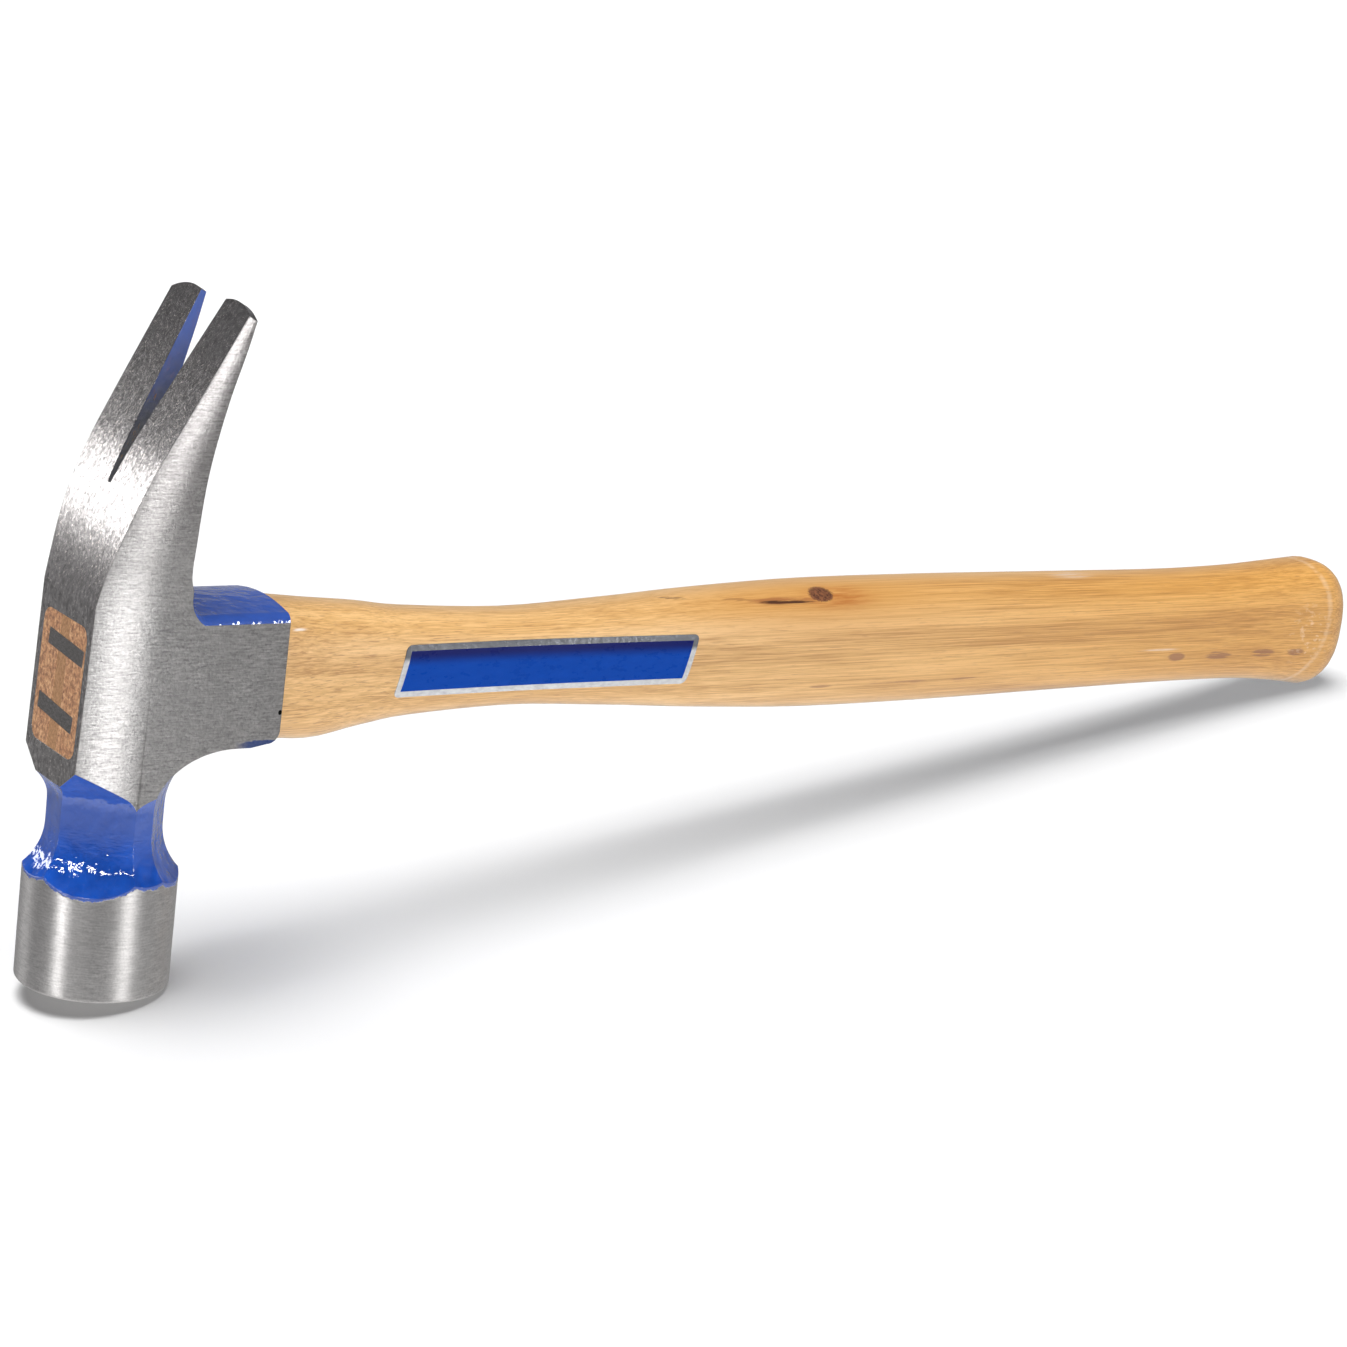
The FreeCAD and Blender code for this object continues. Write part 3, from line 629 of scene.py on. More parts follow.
# %% Blank, with the enamel on its hidden and hollow sides
blank_half_width = 30.0
head = slab("head_forged", outline, blank_half_width, front_steel)
head.data.materials.append(enamel)
for face in head.data.polygons:
    middle = face.center
    if middle.x > front_x(min(middle.z, blank_end)) + 0.5 and abs(face.normal.y) < 0.5:
        face.material_index = 1
print("blank faces", len(head.data.polygons))

# %% [markdown]
# ## The thickness
# Seen from above, the cheeks are flat and crown a little towards the front, and the claws
# flare from the crease up to the tips. A second solid holds that room, ring by ring; the
# head is what both solids share. Its faces bring the belt-ground finish to the cheeks.

# %% One ring of the thickness
cheek_half_width = 14.9
cheek_widening = 0.5
claw_spread = 5.9
crown_slope = 0.025
crown_fall = 0.041
crease_half = cheek_half_width + cheek_widening


def width_ring(z, ridge_half, depth):
    front = front_x(z) - overrun
    flat_half = ridge_half + crown_slope * depth
    reach = front_x(z) + depth - front
    ring = []
    for s in np.linspace(0, 1, 13):
        out = (1 - s) ** 2 * crown_fall * depth * (reach / depth) ** 2
        ring.append((front + s * reach, flat_half - out, z))
    ring.append((socket_end_x + overrun, flat_half, z))
    return ring + [(x, -y, zz) for x, y, zz in reversed(ring)]


# %% Width rings and what both solids share
spread_shares = ((0.0, 0.0), (0.075, 0.10), (0.165, 0.31), (0.270, 0.52), (0.400, 0.69),
                 (0.560, 0.83), (0.740, 0.92), (1.0, 1.0))
rings = [width_ring(neck_cut - 2.0, cheek_half_width, crown_depth)]
for height_share, spread_share in smooth_line(spread_shares, 6):
    z = crease_height + height_share * (blank_over - crease_height)
    depth = crown_depth * (1 - height_share) + tip_crown_depth * height_share
    rings.append(width_ring(z, crease_half + spread_share * claw_spread, depth))
carve(head, tube("width", rings, cheek_steel), "INTERSECT")
print("after the widths", len(head.data.polygons), [m.name for m in head.data.materials])

# %% [markdown]
# ## The poll and the neck
# The poll is turned round the z axis, with a small rim chamfer that the grinder leaves.
# The neck is an octagon whose facets are hollowed by a round-nosed bar: under the cheeks
# the bars leave sloping shoulders, at the back they sweep up into the socket.

# %% Poll
poll_top = 46.0
rim_rows = ((1.4, 0.0), (0.8, 0.12), (0.3, 0.45), (0.05, 0.85), (0.0, 1.3), (0.0, poll_top))
profile = [(0.3, 0.0)] + [(poll_radius - inset, z) for inset, z in rim_rows]
turns = np.linspace(0, 2 * math.pi, 192, endpoint=False)
rings = [[(r * math.cos(a), r * math.sin(a), z) for a in turns] for r, z in profile]
carve(head, tube("poll", rings, poll_steel), "UNION")
print("with the poll", len(head.data.polygons))

# %% Neck bars
shoulder_radius = 7.2
shoulder_slope = 47


def facet_bar(angle, distance, top, steep):
    far = distance + 2 * hollow_radius
    centre = distance + hollow_radius
    line = arc(centre, hollow_low_height, hollow_radius, 270, 180, 48)
    if steep:
        line += arc(distance + shoulder_radius, top, shoulder_radius, 180,
                    180 - shoulder_slope, 20)
        x, z = line[-1]
        line += [(far, z + (far - x) / math.tan(math.radians(shoulder_slope)))]
    else:
        line += arc(centre, top, hollow_radius, 180, 90, 48)
        line += [(far, top + hollow_radius)]
    line += [(far, hollow_low_height - hollow_radius)]
    bar = slab("bar", line, 2 * poll_radius, enamel)
    bar.data.transform(Matrix.Rotation(math.radians(angle - 90), 4, "Z"))
    return bar


for angle, *rest in facets:
    carve(head, facet_bar(angle, *rest))
    if abs(angle) < 90:
        carve(head, facet_bar(180 - angle, *rest))
print("after the neck", len(head.data.polygons))

# %% [markdown]
# ## Socket top, nail slot, claw ends and eye
# The top of the socket is crowned, with rounded edges, and sweeps up into the root of the
# claws. The nail slot is a V whose walls flare downwards, so that a nail head is gripped
# from below. The two claw ends are rounded, and the eye tapers to a waist from both sides.

# %% Socket top
socket_edge_radius = 2.8
socket_arch_drop = 1.4
root_fade = 0.9


def cap_ring(x, raise_by, fade):
    half = crease_half + crown_slope * crown_depth
    radius = socket_edge_radius * fade
    crown = socket_arch_drop * fade
    shoulder = socket_top + raise_by - crown
    side = half + overrun
    top = blank_top + 2 * overrun
    flat = half - radius
    line = [(side, top), (side, shoulder - radius)]
    line += arc(flat, shoulder - radius, radius, 0, 90, 10)
    line += [(flat * c, shoulder + crown * (1 - c * c)) for c in np.linspace(0.9, -0.9, 19)]
    line += arc(-flat, shoulder - radius, radius, 90, 180, 10)
    line += [(-side, shoulder - radius), (-side, top)]
    return [(x, y, z) for y, z in line]


rings = [cap_ring(socket_end_x + overrun, 0, 1), cap_ring(root_x + root_radius, 0, 1)]
for share in np.linspace(0, 1, 13)[1:]:
    angle = math.radians(90) * share
    x = root_x + root_radius * (1 - math.sin(angle))
    rings.append(cap_ring(x, root_radius * (1 - math.cos(angle)), 1 - root_fade * share))
carve(head, tube("cap", rings, enamel))
print("after the socket's top", len(head.data.polygons))

# %% The plane of the claws' upper face
slot_apex_height = 130.5
start_x = bend_end[0] + (slot_apex_height - bend_end[1]) * math.tan(claw_angle)
along = Vector((math.sin(claw_angle), 0, math.cos(claw_angle)))
side_way = Vector((0, -1, 0))
claw_plane = Matrix((side_way, along, side_way.cross(along))).transposed().to_4x4()
claw_plane.translation = (start_x, 0, slot_apex_height)
print("slot begins at", round(start_x, 2), slot_apex_height)

# %% Nail slot
slot_apex_radius = 0.6
slot_half_angle = 6.7
slot_bevel_share, slot_end_bevel_share = 0.42, 0.6


def slot_ring(depth):
    length = claw_end_height - slot_apex_height + claw_reach
    radius = slot_apex_radius + slot_bevel_share * depth
    spread = (slot_end_bevel_share - slot_bevel_share) * depth / length
    half = math.atan(math.tan(math.radians(slot_half_angle)) + spread)
    line = arc(0, 0, radius, 180 + math.degrees(half), 360 - math.degrees(half), 24)
    x, y = line[-1]
    end_x = x + (length - y) * math.tan(half)
    line += [(end_x, length), (-end_x, length)]
    return [(px, py, -depth) for px, py in line]


slot = tube("slot", [slot_ring(-0.7), slot_ring(2 * claw_reach)], enamel)
slot.data.transform(claw_plane)
carve(head, slot)
print("after the slot", len(head.data.polygons))

# %% Rounded claw ends
tip_arc_y, tip_arc_radius = 11.6, 19.4
tip_tool_half = 14.0
claw_run = (claw_end_height - slot_apex_height) / math.cos(claw_angle)
arc_low = claw_run - tip_arc_radius
meet = math.degrees(math.acos(tip_arc_y / tip_arc_radius))
tips = arc(-tip_arc_y, arc_low, tip_arc_radius, 180, meet, 40)
tips += arc(tip_arc_y, arc_low, tip_arc_radius, 180 - meet, 0, 40)[1:]
half = tip_arc_y + tip_arc_radius
tips += [(half, claw_run + tip_arc_radius), (-half, claw_run + tip_arc_radius)]
tool = tube("tips", [[(x, y, d) for x, y in tips] for d in (-tip_tool_half, tip_tool_half)],
            front_steel)
tool.data.transform(claw_plane)
carve(head, tool)
print("after the claw ends", len(head.data.polygons))

# %% Eye
eye_corner_radius = 3.4
eye_waist_x = 8.2
eye_front = (78.8, 16.9, 12.5)  # centre height, half height and half width
eye_waist = (80.25, 15.5, 11.3)
eye_mouth = (81.7, 15.7, 12.7)


def eye_ring(x, centre, half_height, half_width, inset=0.0):
    r = eye_corner_radius
    h = half_height - inset - r
    w = half_width - inset - r
    line = []
    for y, z, start in ((w, h, 0), (-w, h, 90), (-w, -h, 180), (w, -h, 270)):
        line += arc(y, z, r, start, start + 90, 10)
    return [(x, y, centre + z) for y, z in line]


def eye_rings(inset, front, back):
    rows = []
    for x in (front, eye_waist_x, back):
        if x <= eye_waist_x:
            t = (x + eye_face_reach) / (eye_waist_x + eye_face_reach)
            a, b = eye_front, eye_waist
        else:
            t = (x - eye_waist_x) / (socket_end_x - eye_waist_x)
            a, b = eye_waist, eye_mouth
        rows.append(eye_ring(x, *[p + (q - p) * t for p, q in zip(a, b)], inset))
    return rows


carve(head, tube("eye", eye_rings(0, -eye_face_reach - overrun, socket_end_x + overrun),
                 eye_wall_steel))
print("head faces", len(head.data.polygons), [m.name for m in head.data.materials])


# %% [markdown]
# ## Smooth where it should be, sharp where it should be
# After the cuts every small flat is still shaded flat. Marking only the edges that turn by
# more than 20 degrees as sharp makes the hollows flow and keeps the ridges crisp. A large
# flat gets sharp borders too, or the shading of its neighbours would bleed across it. Then
# the mesh is carried from upright millimetres into the frame.

# %% Finish a piece
def settle(obj, angle, *nodes, slot=None):
    """Shades a piece, carries it into the frame and hides the CAD parts that it stands in for."""
    large_flat = 150.0
    mesh = obj.data
    mesh.polygons.foreach_set("use_smooth", [True] * len(mesh.polygons))
    mesh.set_sharp_from_angle(angle=math.radians(angle))
    for face in mesh.polygons:
        if face.area > large_flat:
            for corner in face.loop_indices:
                mesh.edges[mesh.loops[corner].edge_index].use_edge_sharp = True
    mesh.transform(to_frame)
    mesh.update()
    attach(obj, "root")
    if nodes:
        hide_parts(*nodes)
    corners = np.array([v.co for v in mesh.vertices])
    print(obj.name, "faces", len(mesh.polygons), corners.min(0), corners.max(0))


settle(head, 20, "hammer_head", slot="head_steel")

# %% [markdown]
# ## Hickory
# Hickory is pale, hard and straight-grained. Three scales of the same long streak make it
# look real: broad bands of heartwood, year lines, and short dark pores, all stretched along
# the handle. A clear lacquer lies on top, which is the shader's coat. This handle also has
# a small knot with its dark streak, and a few stained pores near the butt; their places
# are given in upright millimetres.

# %% The grain
hickory, tree, shader = new_finish(
    "lacquered_hickory", Metallic=0.0, IOR=1.5, Coat_Weight=0.55, Coat_Roughness=0.12)
spot = upright_place(tree)
place = split(tree, spot)
bands = stretched(tree, spot, (0.006, 0.11, 0.13), 3.0, 0.5, 0.6)
years = stretched(tree, spot, (0.009, 1.6, 1.9), 4.0, 0.62, 0.4, (3, 1, 2))
fibres = stretched(tree, spot, (0.04, 3.6, 3.6), 3.0, 0.6, 0.0, (9, 4, 1))
tone = plus(tree, times(tree, bands, 0.30),
            plus(tree, times(tree, years, 0.32), times(tree, fibres, 0.38)))
wood = ramp(tree, tone, (0.38, (0.49, 0.250, 0.082, 1)), (0.48, (0.69, 0.400, 0.150, 1)),
            (0.58, (0.86, 0.54, 0.235, 1)))
toward_butt = between(tree, place["X"], 150.0, 400.0, 0.0, 0.8)
wood = blend(tree, toward_butt, wood, (0.96, 0.80, 0.46, 1), "MULTIPLY")
print("grain nodes", len(tree.nodes))

# %% End grain in the eye
end_grain = between(tree, place["X"], -11.0, -13.0)
crumbs = stretched(tree, spot, (1.2, 0.9, 0.9), 4.0, 0.65, 0.4, (2, 7, 3))
end_tone = ramp(tree, crumbs, (0.36, (0.24, 0.085, 0.026, 1)), (0.50, (0.56, 0.24, 0.085, 1)),
                (0.66, (0.85, 0.50, 0.24, 1)))
wood = blend(tree, end_grain, wood, end_tone)

# %% Pores, and short dashes near the head
pores = stretched(tree, spot, (0.10, 2.2, 2.2), 2.0, 0.5, 0.2, (5, 8, 2))
dashes = stretched(tree, spot, (0.22, 2.6, 2.6), 2.0, 0.5, 0.2, (1, 6, 9))
near_head = between(tree, place["X"], 190.0, 60.0, 0.35, 1.0)
pore_mask = maths(tree, "MAXIMUM", between(tree, pores, 0.63, 0.75, 0.0, 0.5),
                  times(tree, between(tree, dashes, 0.57, 0.69, 0.0, 0.6), near_head))
wood = blend(tree, pore_mask, wood, (0.40, 0.19, 0.07, 1))
print("grain and pores", len(tree.nodes), "nodes")

# %% A stain that frays along the grain, also used for painted glints
worn = stretched(tree, spot, (0.10, 1.6, 1.6), 3.0, 0.6, 0.0, (4, 4, 7))


def stain_and_glint(wood, centre, size, strength, colour, sharp=1.0, start=0.0):
    """A coloured spot whose edge frays along the grain; it makes real stains and also painted
    highlights on the lacquer.
    """
    spread = blot(tree, spot, centre, size)
    frayed = times(tree, spread, between(tree, worn, 0.34, 0.60, 0.25, 1.0))
    mask = between(tree, frayed, start, sharp, 0.0, strength)
    return blend(tree, mask, wood, colour)


# %% [markdown]
# ## The knot
# A knot is a branch that the wood grew round. The wood beside it is orange with resin, a
# dark crack runs from it along the grain towards the head, and its core is nearly black
# with a paler middle. Each of these is one stain, from the widest to the smallest.

# %% Knot
kx, ky, kz = 212.8, -8.8, 96.8
halo = blot(tree, spot, (kx - 4, ky, kz - 1.0), (80, 26, 13))
wood = blend(tree, times(tree, halo, 0.75), wood, (0.62, 0.30, 0.075, 1))
for along_x, lower, size, strength, colour, sharp, start in (
        (6, -0.6, (21, 12, 5.0), 0.85, (0.46, 0.15, 0.03, 1), 1.0, 0.0),
        (-13, -1.0, (24, 12, 1.6), 0.8, (0.34, 0.12, 0.04, 1), 0.7, 0.1),
        (-12.5, -1.2, (16, 12, 0.75), 0.95, (0.06, 0.02, 0.01, 1), 0.5, 0.25),
        (-50, -0.3, (10, 12, 0.5), 0.8, (0.13, 0.05, 0.02, 1), 0.5, 0.2),
        (-30, -0.6, (9, 12, 0.7), 0.5, (0.25, 0.09, 0.03, 1), 0.5, 0.2)):
    wood = stain_and_glint(wood, (kx + along_x, ky, kz + lower), size, strength, colour, sharp, start)
core = blot(tree, spot, (kx, ky, kz + 0.4), (6.8, 9, 2.9))
core = times(tree, core, between(tree, crumbs, 0.30, 0.62, 0.62, 1.25))
core_tone = ramp(tree, crumbs, (0.40, (0.05, 0.018, 0.011, 1)), (0.60, (0.26, 0.10, 0.045, 1)))
wood = blend(tree, between(tree, core, 0.24, 0.46), wood, core_tone)
print("with the knot", len(tree.nodes), "nodes")

# %% Red streaks, stained pores near the butt, and painted glints on the lacquer
for along_x, size in ((245.0, 22), (268.0, 12), (214.0, 7)):
    wood = stain_and_glint(wood, (along_x, -12.4, 71.1), (size, 9, 0.8), 0.6, (0.34, 0.14, 0.07, 1),
                 0.6, 0.15)
for centre, size in (((370.0, -12.7, 74.4), 9), ((389.0, -13.1, 74.5), 8),
                     ((403.0, -13.5, 74.3), 6), ((352.0, -13.0, 74.4), 6)):
    wood = stain_and_glint(wood, centre, (size, 9, 2.3), 0.75, (0.31, 0.13, 0.065, 1), 0.5, 0.18)
# Painted highlights: three pale spots stand for glints of light on the lacquer.
for centre, size, strength in (((43.9, -11.9, 93.4), (3.6, 4, 0.7), 0.9),
                               ((344.4, -13.0, 77.1), (12, 6, 0.8), 0.45),
                               ((312.5, -2.0, 98.8), (14, 6, 0.9), 0.4)):
    wood = stain_and_glint(wood, centre, size, strength, (0.95, 0.86, 0.78, 1))
print("with the stains", len(tree.nodes), "nodes")

# %% A painted highlight ring and a lighter patch on the butt
ring_height, ring_x, ring_bend = 86.0, 415.2, -0.017
off_axis = minus(tree, place["Z"], ring_height)
arc_x = maths(tree, "MULTIPLY_ADD", times(tree, off_axis, off_axis), ring_bend, ring_x)
from_arc = maths(tree, "ABSOLUTE", minus(tree, place["X"], arc_x))
mottle = stretched(tree, spot, (0.35, 0.7, 0.7), 3.0, 0.6, 0.0, (6, 2, 3))
# Painted highlight: a pale line on the arc where the side rounds into the butt's end stands for
# light caught on that rounded edge; the patch beside it is a lighter mottled spot.
painted_edge_highlight = times(tree, between(tree, from_arc, 1.7, 0.2, 0.0, 0.35),
            between(tree, mottle, 0.38, 0.55, 0.2, 1.0))
patch = times(tree, blot(tree, spot, (408.0, -14.0, 80.0), (13, 9, 15)),
              between(tree, mottle, 0.52, 0.66, 0.0, 0.55))
wood = blend(tree, maths(tree, "MAXIMUM", painted_edge_highlight, patch), wood, (0.90, 0.68, 0.46, 1))

# %% Colour, gloss and relief of the wood
tree.links.new(wood, shader.inputs["Base Color"])
tree.links.new(between(tree, tone, 0.3, 0.7, 0.46, 0.34), shader.inputs["Roughness"])
relief(tree, shader, minus(tree, times(tree, fibres, 0.6), pore_mask), depth=0.03, edge=0.3)
print("hickory nodes", len(tree.nodes))

# %% [markdown]
# ## The handle as a sweep
# The handle follows a rule: at every place along its axis the section is the same
# flattened oval, only its height, width and centre change. That is a job for Geometry
# Nodes. The rows below are the stations of the CAD part; they become points that carry
# their sizes as attributes. The tree makes a smooth rail through them, sweeps a circle
# along it, and then moves every point to its place on the oval.

# %% Stations along the handle
butt_height, butt_width = 40.7, 29.3
butt_round, butt_side_round = 12.8, 9.2
handle_axis_height = 81.1
handle_end_x = 427.6
shoulder_gap = 0.05
grip_start = socket_end_x + shoulder_gap
free_length = handle_end_x - grip_start
station_shares = (  # along, height, width and sink of the axis
    (0.000, 0.900, 1.000, -0.003), (0.032, 0.894, 0.930, 0.028),
    (0.074, 0.794, 0.860, 0.012), (0.112, 0.702, 0.815, 0.008),
    (0.190, 0.640, 0.795, 0.008), (0.270, 0.715, 0.830, 0.006),
    (0.355, 0.822, 0.895, 0.004), (0.450, 0.900, 0.925, 0.004),
    (0.560, 0.905, 0.930, 0.002), (0.700, 0.876, 0.908, -0.002),
    (0.830, 0.858, 0.900, -0.006), (0.890, 0.880, 0.930, -0.012),
    (0.935, 0.938, 0.970, -0.010))
stations = []
for share, high, wide, sink in smooth_line(station_shares, 4):
    height = high * butt_height
    stations.append((grip_start + share * free_length, handle_axis_height - sink * height,
                     height, wide * butt_width))
for angle in np.radians(np.linspace(0, 90, 13)):
    turned = 1 - math.cos(angle)
    stations.append((handle_end_x - butt_round * (1 - math.sin(angle)), handle_axis_height,
                     butt_height - 2 * butt_round * turned,
                     butt_width - 2 * butt_side_round * turned))
print("stations", len(stations))


# %% The sweep's tree
def sweep_tree(material):
    group = bpy.data.node_groups.new("oval_sweep", "GeometryNodeTree")
    face = group.interface
    face.new_socket("Geometry", in_out="INPUT", socket_type="NodeSocketGeometry")
    face.new_socket("Geometry", in_out="OUTPUT", socket_type="NodeSocketGeometry")
    face.new_socket("Steps round", in_out="INPUT", socket_type="NodeSocketInt")
    face.new_socket("Oval power", in_out="INPUT", socket_type="NodeSocketFloat")
    start = add(group, "NodeGroupInput").outputs
    rail = add(group, "GeometryNodeMeshToCurve", {"Mesh": start["Geometry"]})
    ring = add(group, "GeometryNodeCurvePrimitiveCircle", {"Resolution": start["Steps round"],
                                                           "Radius": 1.0})
    index = add(group, "GeometryNodeInputIndex").outputs[0]
    mark = add(group, "GeometryNodeStoreNamedAttribute",
               {"Geometry": ring.outputs["Curve"], "Name": "step", "Value": index},
               data_type="FLOAT", domain="POINT")
    swept = add(group, "GeometryNodeCurveToMesh",
                {"Curve": rail.outputs["Curve"], "Profile Curve": mark.outputs["Geometry"],
                 "Fill Caps": True})

    def named(name):
        node = add(group, "GeometryNodeInputNamedAttribute", {"Name": name},
                   data_type="FLOAT")
        return node.outputs["Attribute"]

    turn = times(group, named("step"),
                 maths(group, "DIVIDE", 2 * math.pi, start["Steps round"]))
    root = maths(group, "DIVIDE", 2.0, start["Oval power"])

    def oval(function, size):
        """The wave of a circle, bulged to the oval's power and scaled to half its size."""
        wave = maths(group, function, turn)
        bulge = maths(group, "POWER", maths(group, "ABSOLUTE", wave), root)
        signed = times(group, maths(group, "SIGN", wave), bulge)
        return times(group, signed, times(group, named(size), 0.5))

    place = add(group, "ShaderNodeCombineXYZ", {
        "X": named("place"), "Y": oval("COSINE", "width"),
        "Z": plus(group, oval("SINE", "height"), named("centre"))})
    moved = add(group, "GeometryNodeSetPosition",
                {"Geometry": swept.outputs["Mesh"], "Position": place.outputs["Vector"]})
    real = add(group, "GeometryNodeRealizeInstances", {"Geometry": moved.outputs["Geometry"]})
    coat = add(group, "GeometryNodeSetMaterial",
               {"Geometry": real.outputs["Geometry"], "Material": material})
    group.links.new(coat.outputs["Geometry"],
                    add(group, "NodeGroupOutput").inputs["Geometry"])
    return group


# %% The rail and its attributes
steps_round = 96
oval_power = 2.6
attributes = ("place", "centre", "height", "width")
rail_mesh = bpy.data.meshes.new("handle_wood")
rail_mesh.from_pydata([(row[0], 0, row[1]) for row in stations],
                      [(i, i + 1) for i in range(len(stations) - 1)], [])
for column, name in enumerate(attributes):
    rail_mesh.attributes.new(name, "FLOAT", "POINT").data.foreach_set(
        "value", [row[column] for row in stations])
handle = bpy.data.objects.new("handle_wood", rail_mesh)
bpy.context.scene.collection.objects.link(handle)
print("rail length", round(stations[-1][0] - stations[0][0], 1), "mm")

# %% Run the sweep and freeze it
sweep = handle.modifiers.new("sweep", "NODES")
sweep.node_group = sweep_tree(hickory)
sizes = {"Steps round": steps_round, "Oval power": oval_power}
for item in sweep.node_group.interface.items_tree:
    if item.in_out == "INPUT" and item.name in sizes:
        sweep[item.identifier] = sizes[item.name]
freeze(handle)
for name in [a.name for a in handle.data.attributes if a.name in attributes + ("step",)]:
    handle.data.attributes.remove(handle.data.attributes[name])
rework(handle.data, merge=0.001)
print("grip faces", len(handle.data.polygons))

# %% [markdown]
# ## The tenon and its wedges
# The handle's end fills the eye and is cut flush with the leaning eye face. It was split
# by a saw, and a wooden wedge spreads it; two steel wedges cross that one. The tenon is a
# tube with the eye's own taper and an end that leans with the face, and three slots are
# cut where the wedges sit, with the same clearance as in the CAD part.

# %% Tenon and the shape of a wedge's slot
clearance = 0.05
rows = eye_rings(clearance, -eye_face_reach, grip_start)
rows[0] = [(eye_face_x(z), y, z) for x, y, z in rows[0]]
tenon = tube("tenon", rows, hickory)


def wedge_shape(depth, thickness, tip):
    """The wedge seen from its side, with its clearance and an overrun at the thick end."""
    front = -eye_face_reach - overrun
    end = -eye_face_reach + depth + clearance
    slope = (thickness - tip) / 2 / depth
    half = thickness / 2 + clearance + slope * overrun
    point = tip / 2 + clearance
    return [(front, -half), (end, -point), (end, point), (front, half)]


print("tenon faces", len(tenon.data.polygons))

# %% Slots of the wooden wedge and of the two steel wedges
wood_slot = [[(x, y, z) for x, y in wedge_shape(31.7, 5.1, 1.2)] for z in (0, 160)]
carve(tenon, tube("wood_slot", wood_slot, hickory))
steel_shape = wedge_shape(25.6, 4.3, 0.8)
steel_wedge_width = 20.1
for height, offset, turn in ((88.3, 1.5, 3.5), (71.2, -0.4, 4.5)):
    tool = slab("steel_slot", steel_shape, steel_wedge_width / 2 + clearance, hickory)
    tool.data.transform(Matrix.Rotation(math.radians(turn), 4, "X"))
    tool.data.transform(Matrix.Translation((0, -offset, height)))
    carve(tenon, tool)
print("tenon with its slots", len(tenon.data.polygons))

# %% Grip and tenon as one handle
rework(handle.data, extra=tenon.data)
bpy.data.objects.remove(tenon)
while len(handle.data.materials) > 1:
    handle.data.materials.pop()
for face in handle.data.polygons:
    face.material_index = 0
print("handle faces", len(handle.data.polygons))
handle_tree = BVHTree.FromPolygons([v.co[:] for v in handle.data.vertices],
                                   [p.vertices[:] for p in handle.data.polygons])
settle(handle, 30, "handle", slot="handle_wood")
handle.visible_diffuse = False

# %% [markdown]
# ## The label
# The label is a strip of printed foil, 0.2 mm in thickness, glued to the near side of the
# handle: a silver border round a plain blue field. It has to follow the wood exactly, so
# a fine grid is drawn flat, with round corners and a slant, and each of its points is
# pressed on to the handle by a ray along the thickness. Both colours are painted darker on
# the upper part of the foil, a painted shade for where it turns away from the light.

# %% Silver foil
foil, tree, shader = new_finish("silver_foil", Metallic=0.5, Roughness=0.25, IOR=1.5)
spot = upright_place(tree)
crinkle = stretched(tree, spot, (0.5, 0.5, 0.9), 3.0, 0.6)
silver = ramp(tree, crinkle, (0.3, (0.62, 0.63, 0.65, 1)), (0.7, (0.86, 0.87, 0.88, 1)))
# Painted shade: the silver is painted dark grey on the upper part of the label.
low_side = between(tree, split(tree, spot)["Z"], 85.2, 83.2)
tree.links.new(blend(tree, low_side, (0.16, 0.165, 0.18, 1), silver),
               shader.inputs["Base Color"])
relief(tree, shader, crinkle, 0.12)
print("foil nodes", len(tree.nodes))

# %% Blue print
ink, tree, shader = new_finish("blue_foil_print", Metallic=0.0, IOR=1.2)
spot = upright_place(tree)
crinkle = stretched(tree, spot, (0.3, 0.3, 0.6), 3.0, 0.6)
ink_blue = ramp(tree, crinkle, (0.3, (0.001, 0.052, 0.35, 1)), (0.7, (0.002, 0.060, 0.39, 1)))
# Painted shade: the blue print is painted a darker navy towards the top of the label.
high_side = between(tree, split(tree, spot)["Z"], 82.0, 85.8)
tree.links.new(blend(tree, high_side, ink_blue, (0.005, 0.010, 0.11, 1)),
               shader.inputs["Base Color"])
tree.links.new(between(tree, crinkle, 0.3, 0.7, 0.26, 0.34), shader.inputs["Roughness"])
relief(tree, shader, crinkle, 0.03)
print("print nodes", len(tree.nodes))

# %% Lines of the label's grid
label_x, label_half, label_high, label_slant = 121.1, 92.6 / 2, 13.9 / 2, 3.1
label_corner, label_border, foil_thickness = 1.6, 1.6, 0.2
columns = sorted(set(np.round(np.concatenate([
    np.linspace(-1, 1, 121),
    [label_border / label_half - 1, 1 - label_border / label_half]]), 5)))
corner_steps = label_corner * (1 - np.cos(np.radians([15, 30, 45, 60, 75])))
levels = sorted(set(np.round(np.concatenate([
    label_high * np.linspace(-1, 1, 21), corner_steps - label_high,
    label_high - corner_steps, [label_border - label_high, label_high - label_border]]), 4)))
print("label grid", len(columns), "by", len(levels))

# %% Points pressed on to the wood
verts = []
for outside in (foil_thickness, 0.0):
    for v in levels:
        over = max(0.0, abs(v) - (label_high - label_corner))
        half = label_half - label_corner + math.sqrt(max(0.0, label_corner ** 2 - over ** 2))
        for u in columns:
            x = label_x + u * half + v * label_slant / (2 * label_high)
            point, normal, face, way = handle_tree.ray_cast(
                Vector((x, -60, handle_axis_height + v)), Vector((0, 1, 0)))
            verts.append(point + normal * outside)
print("label points", len(verts))

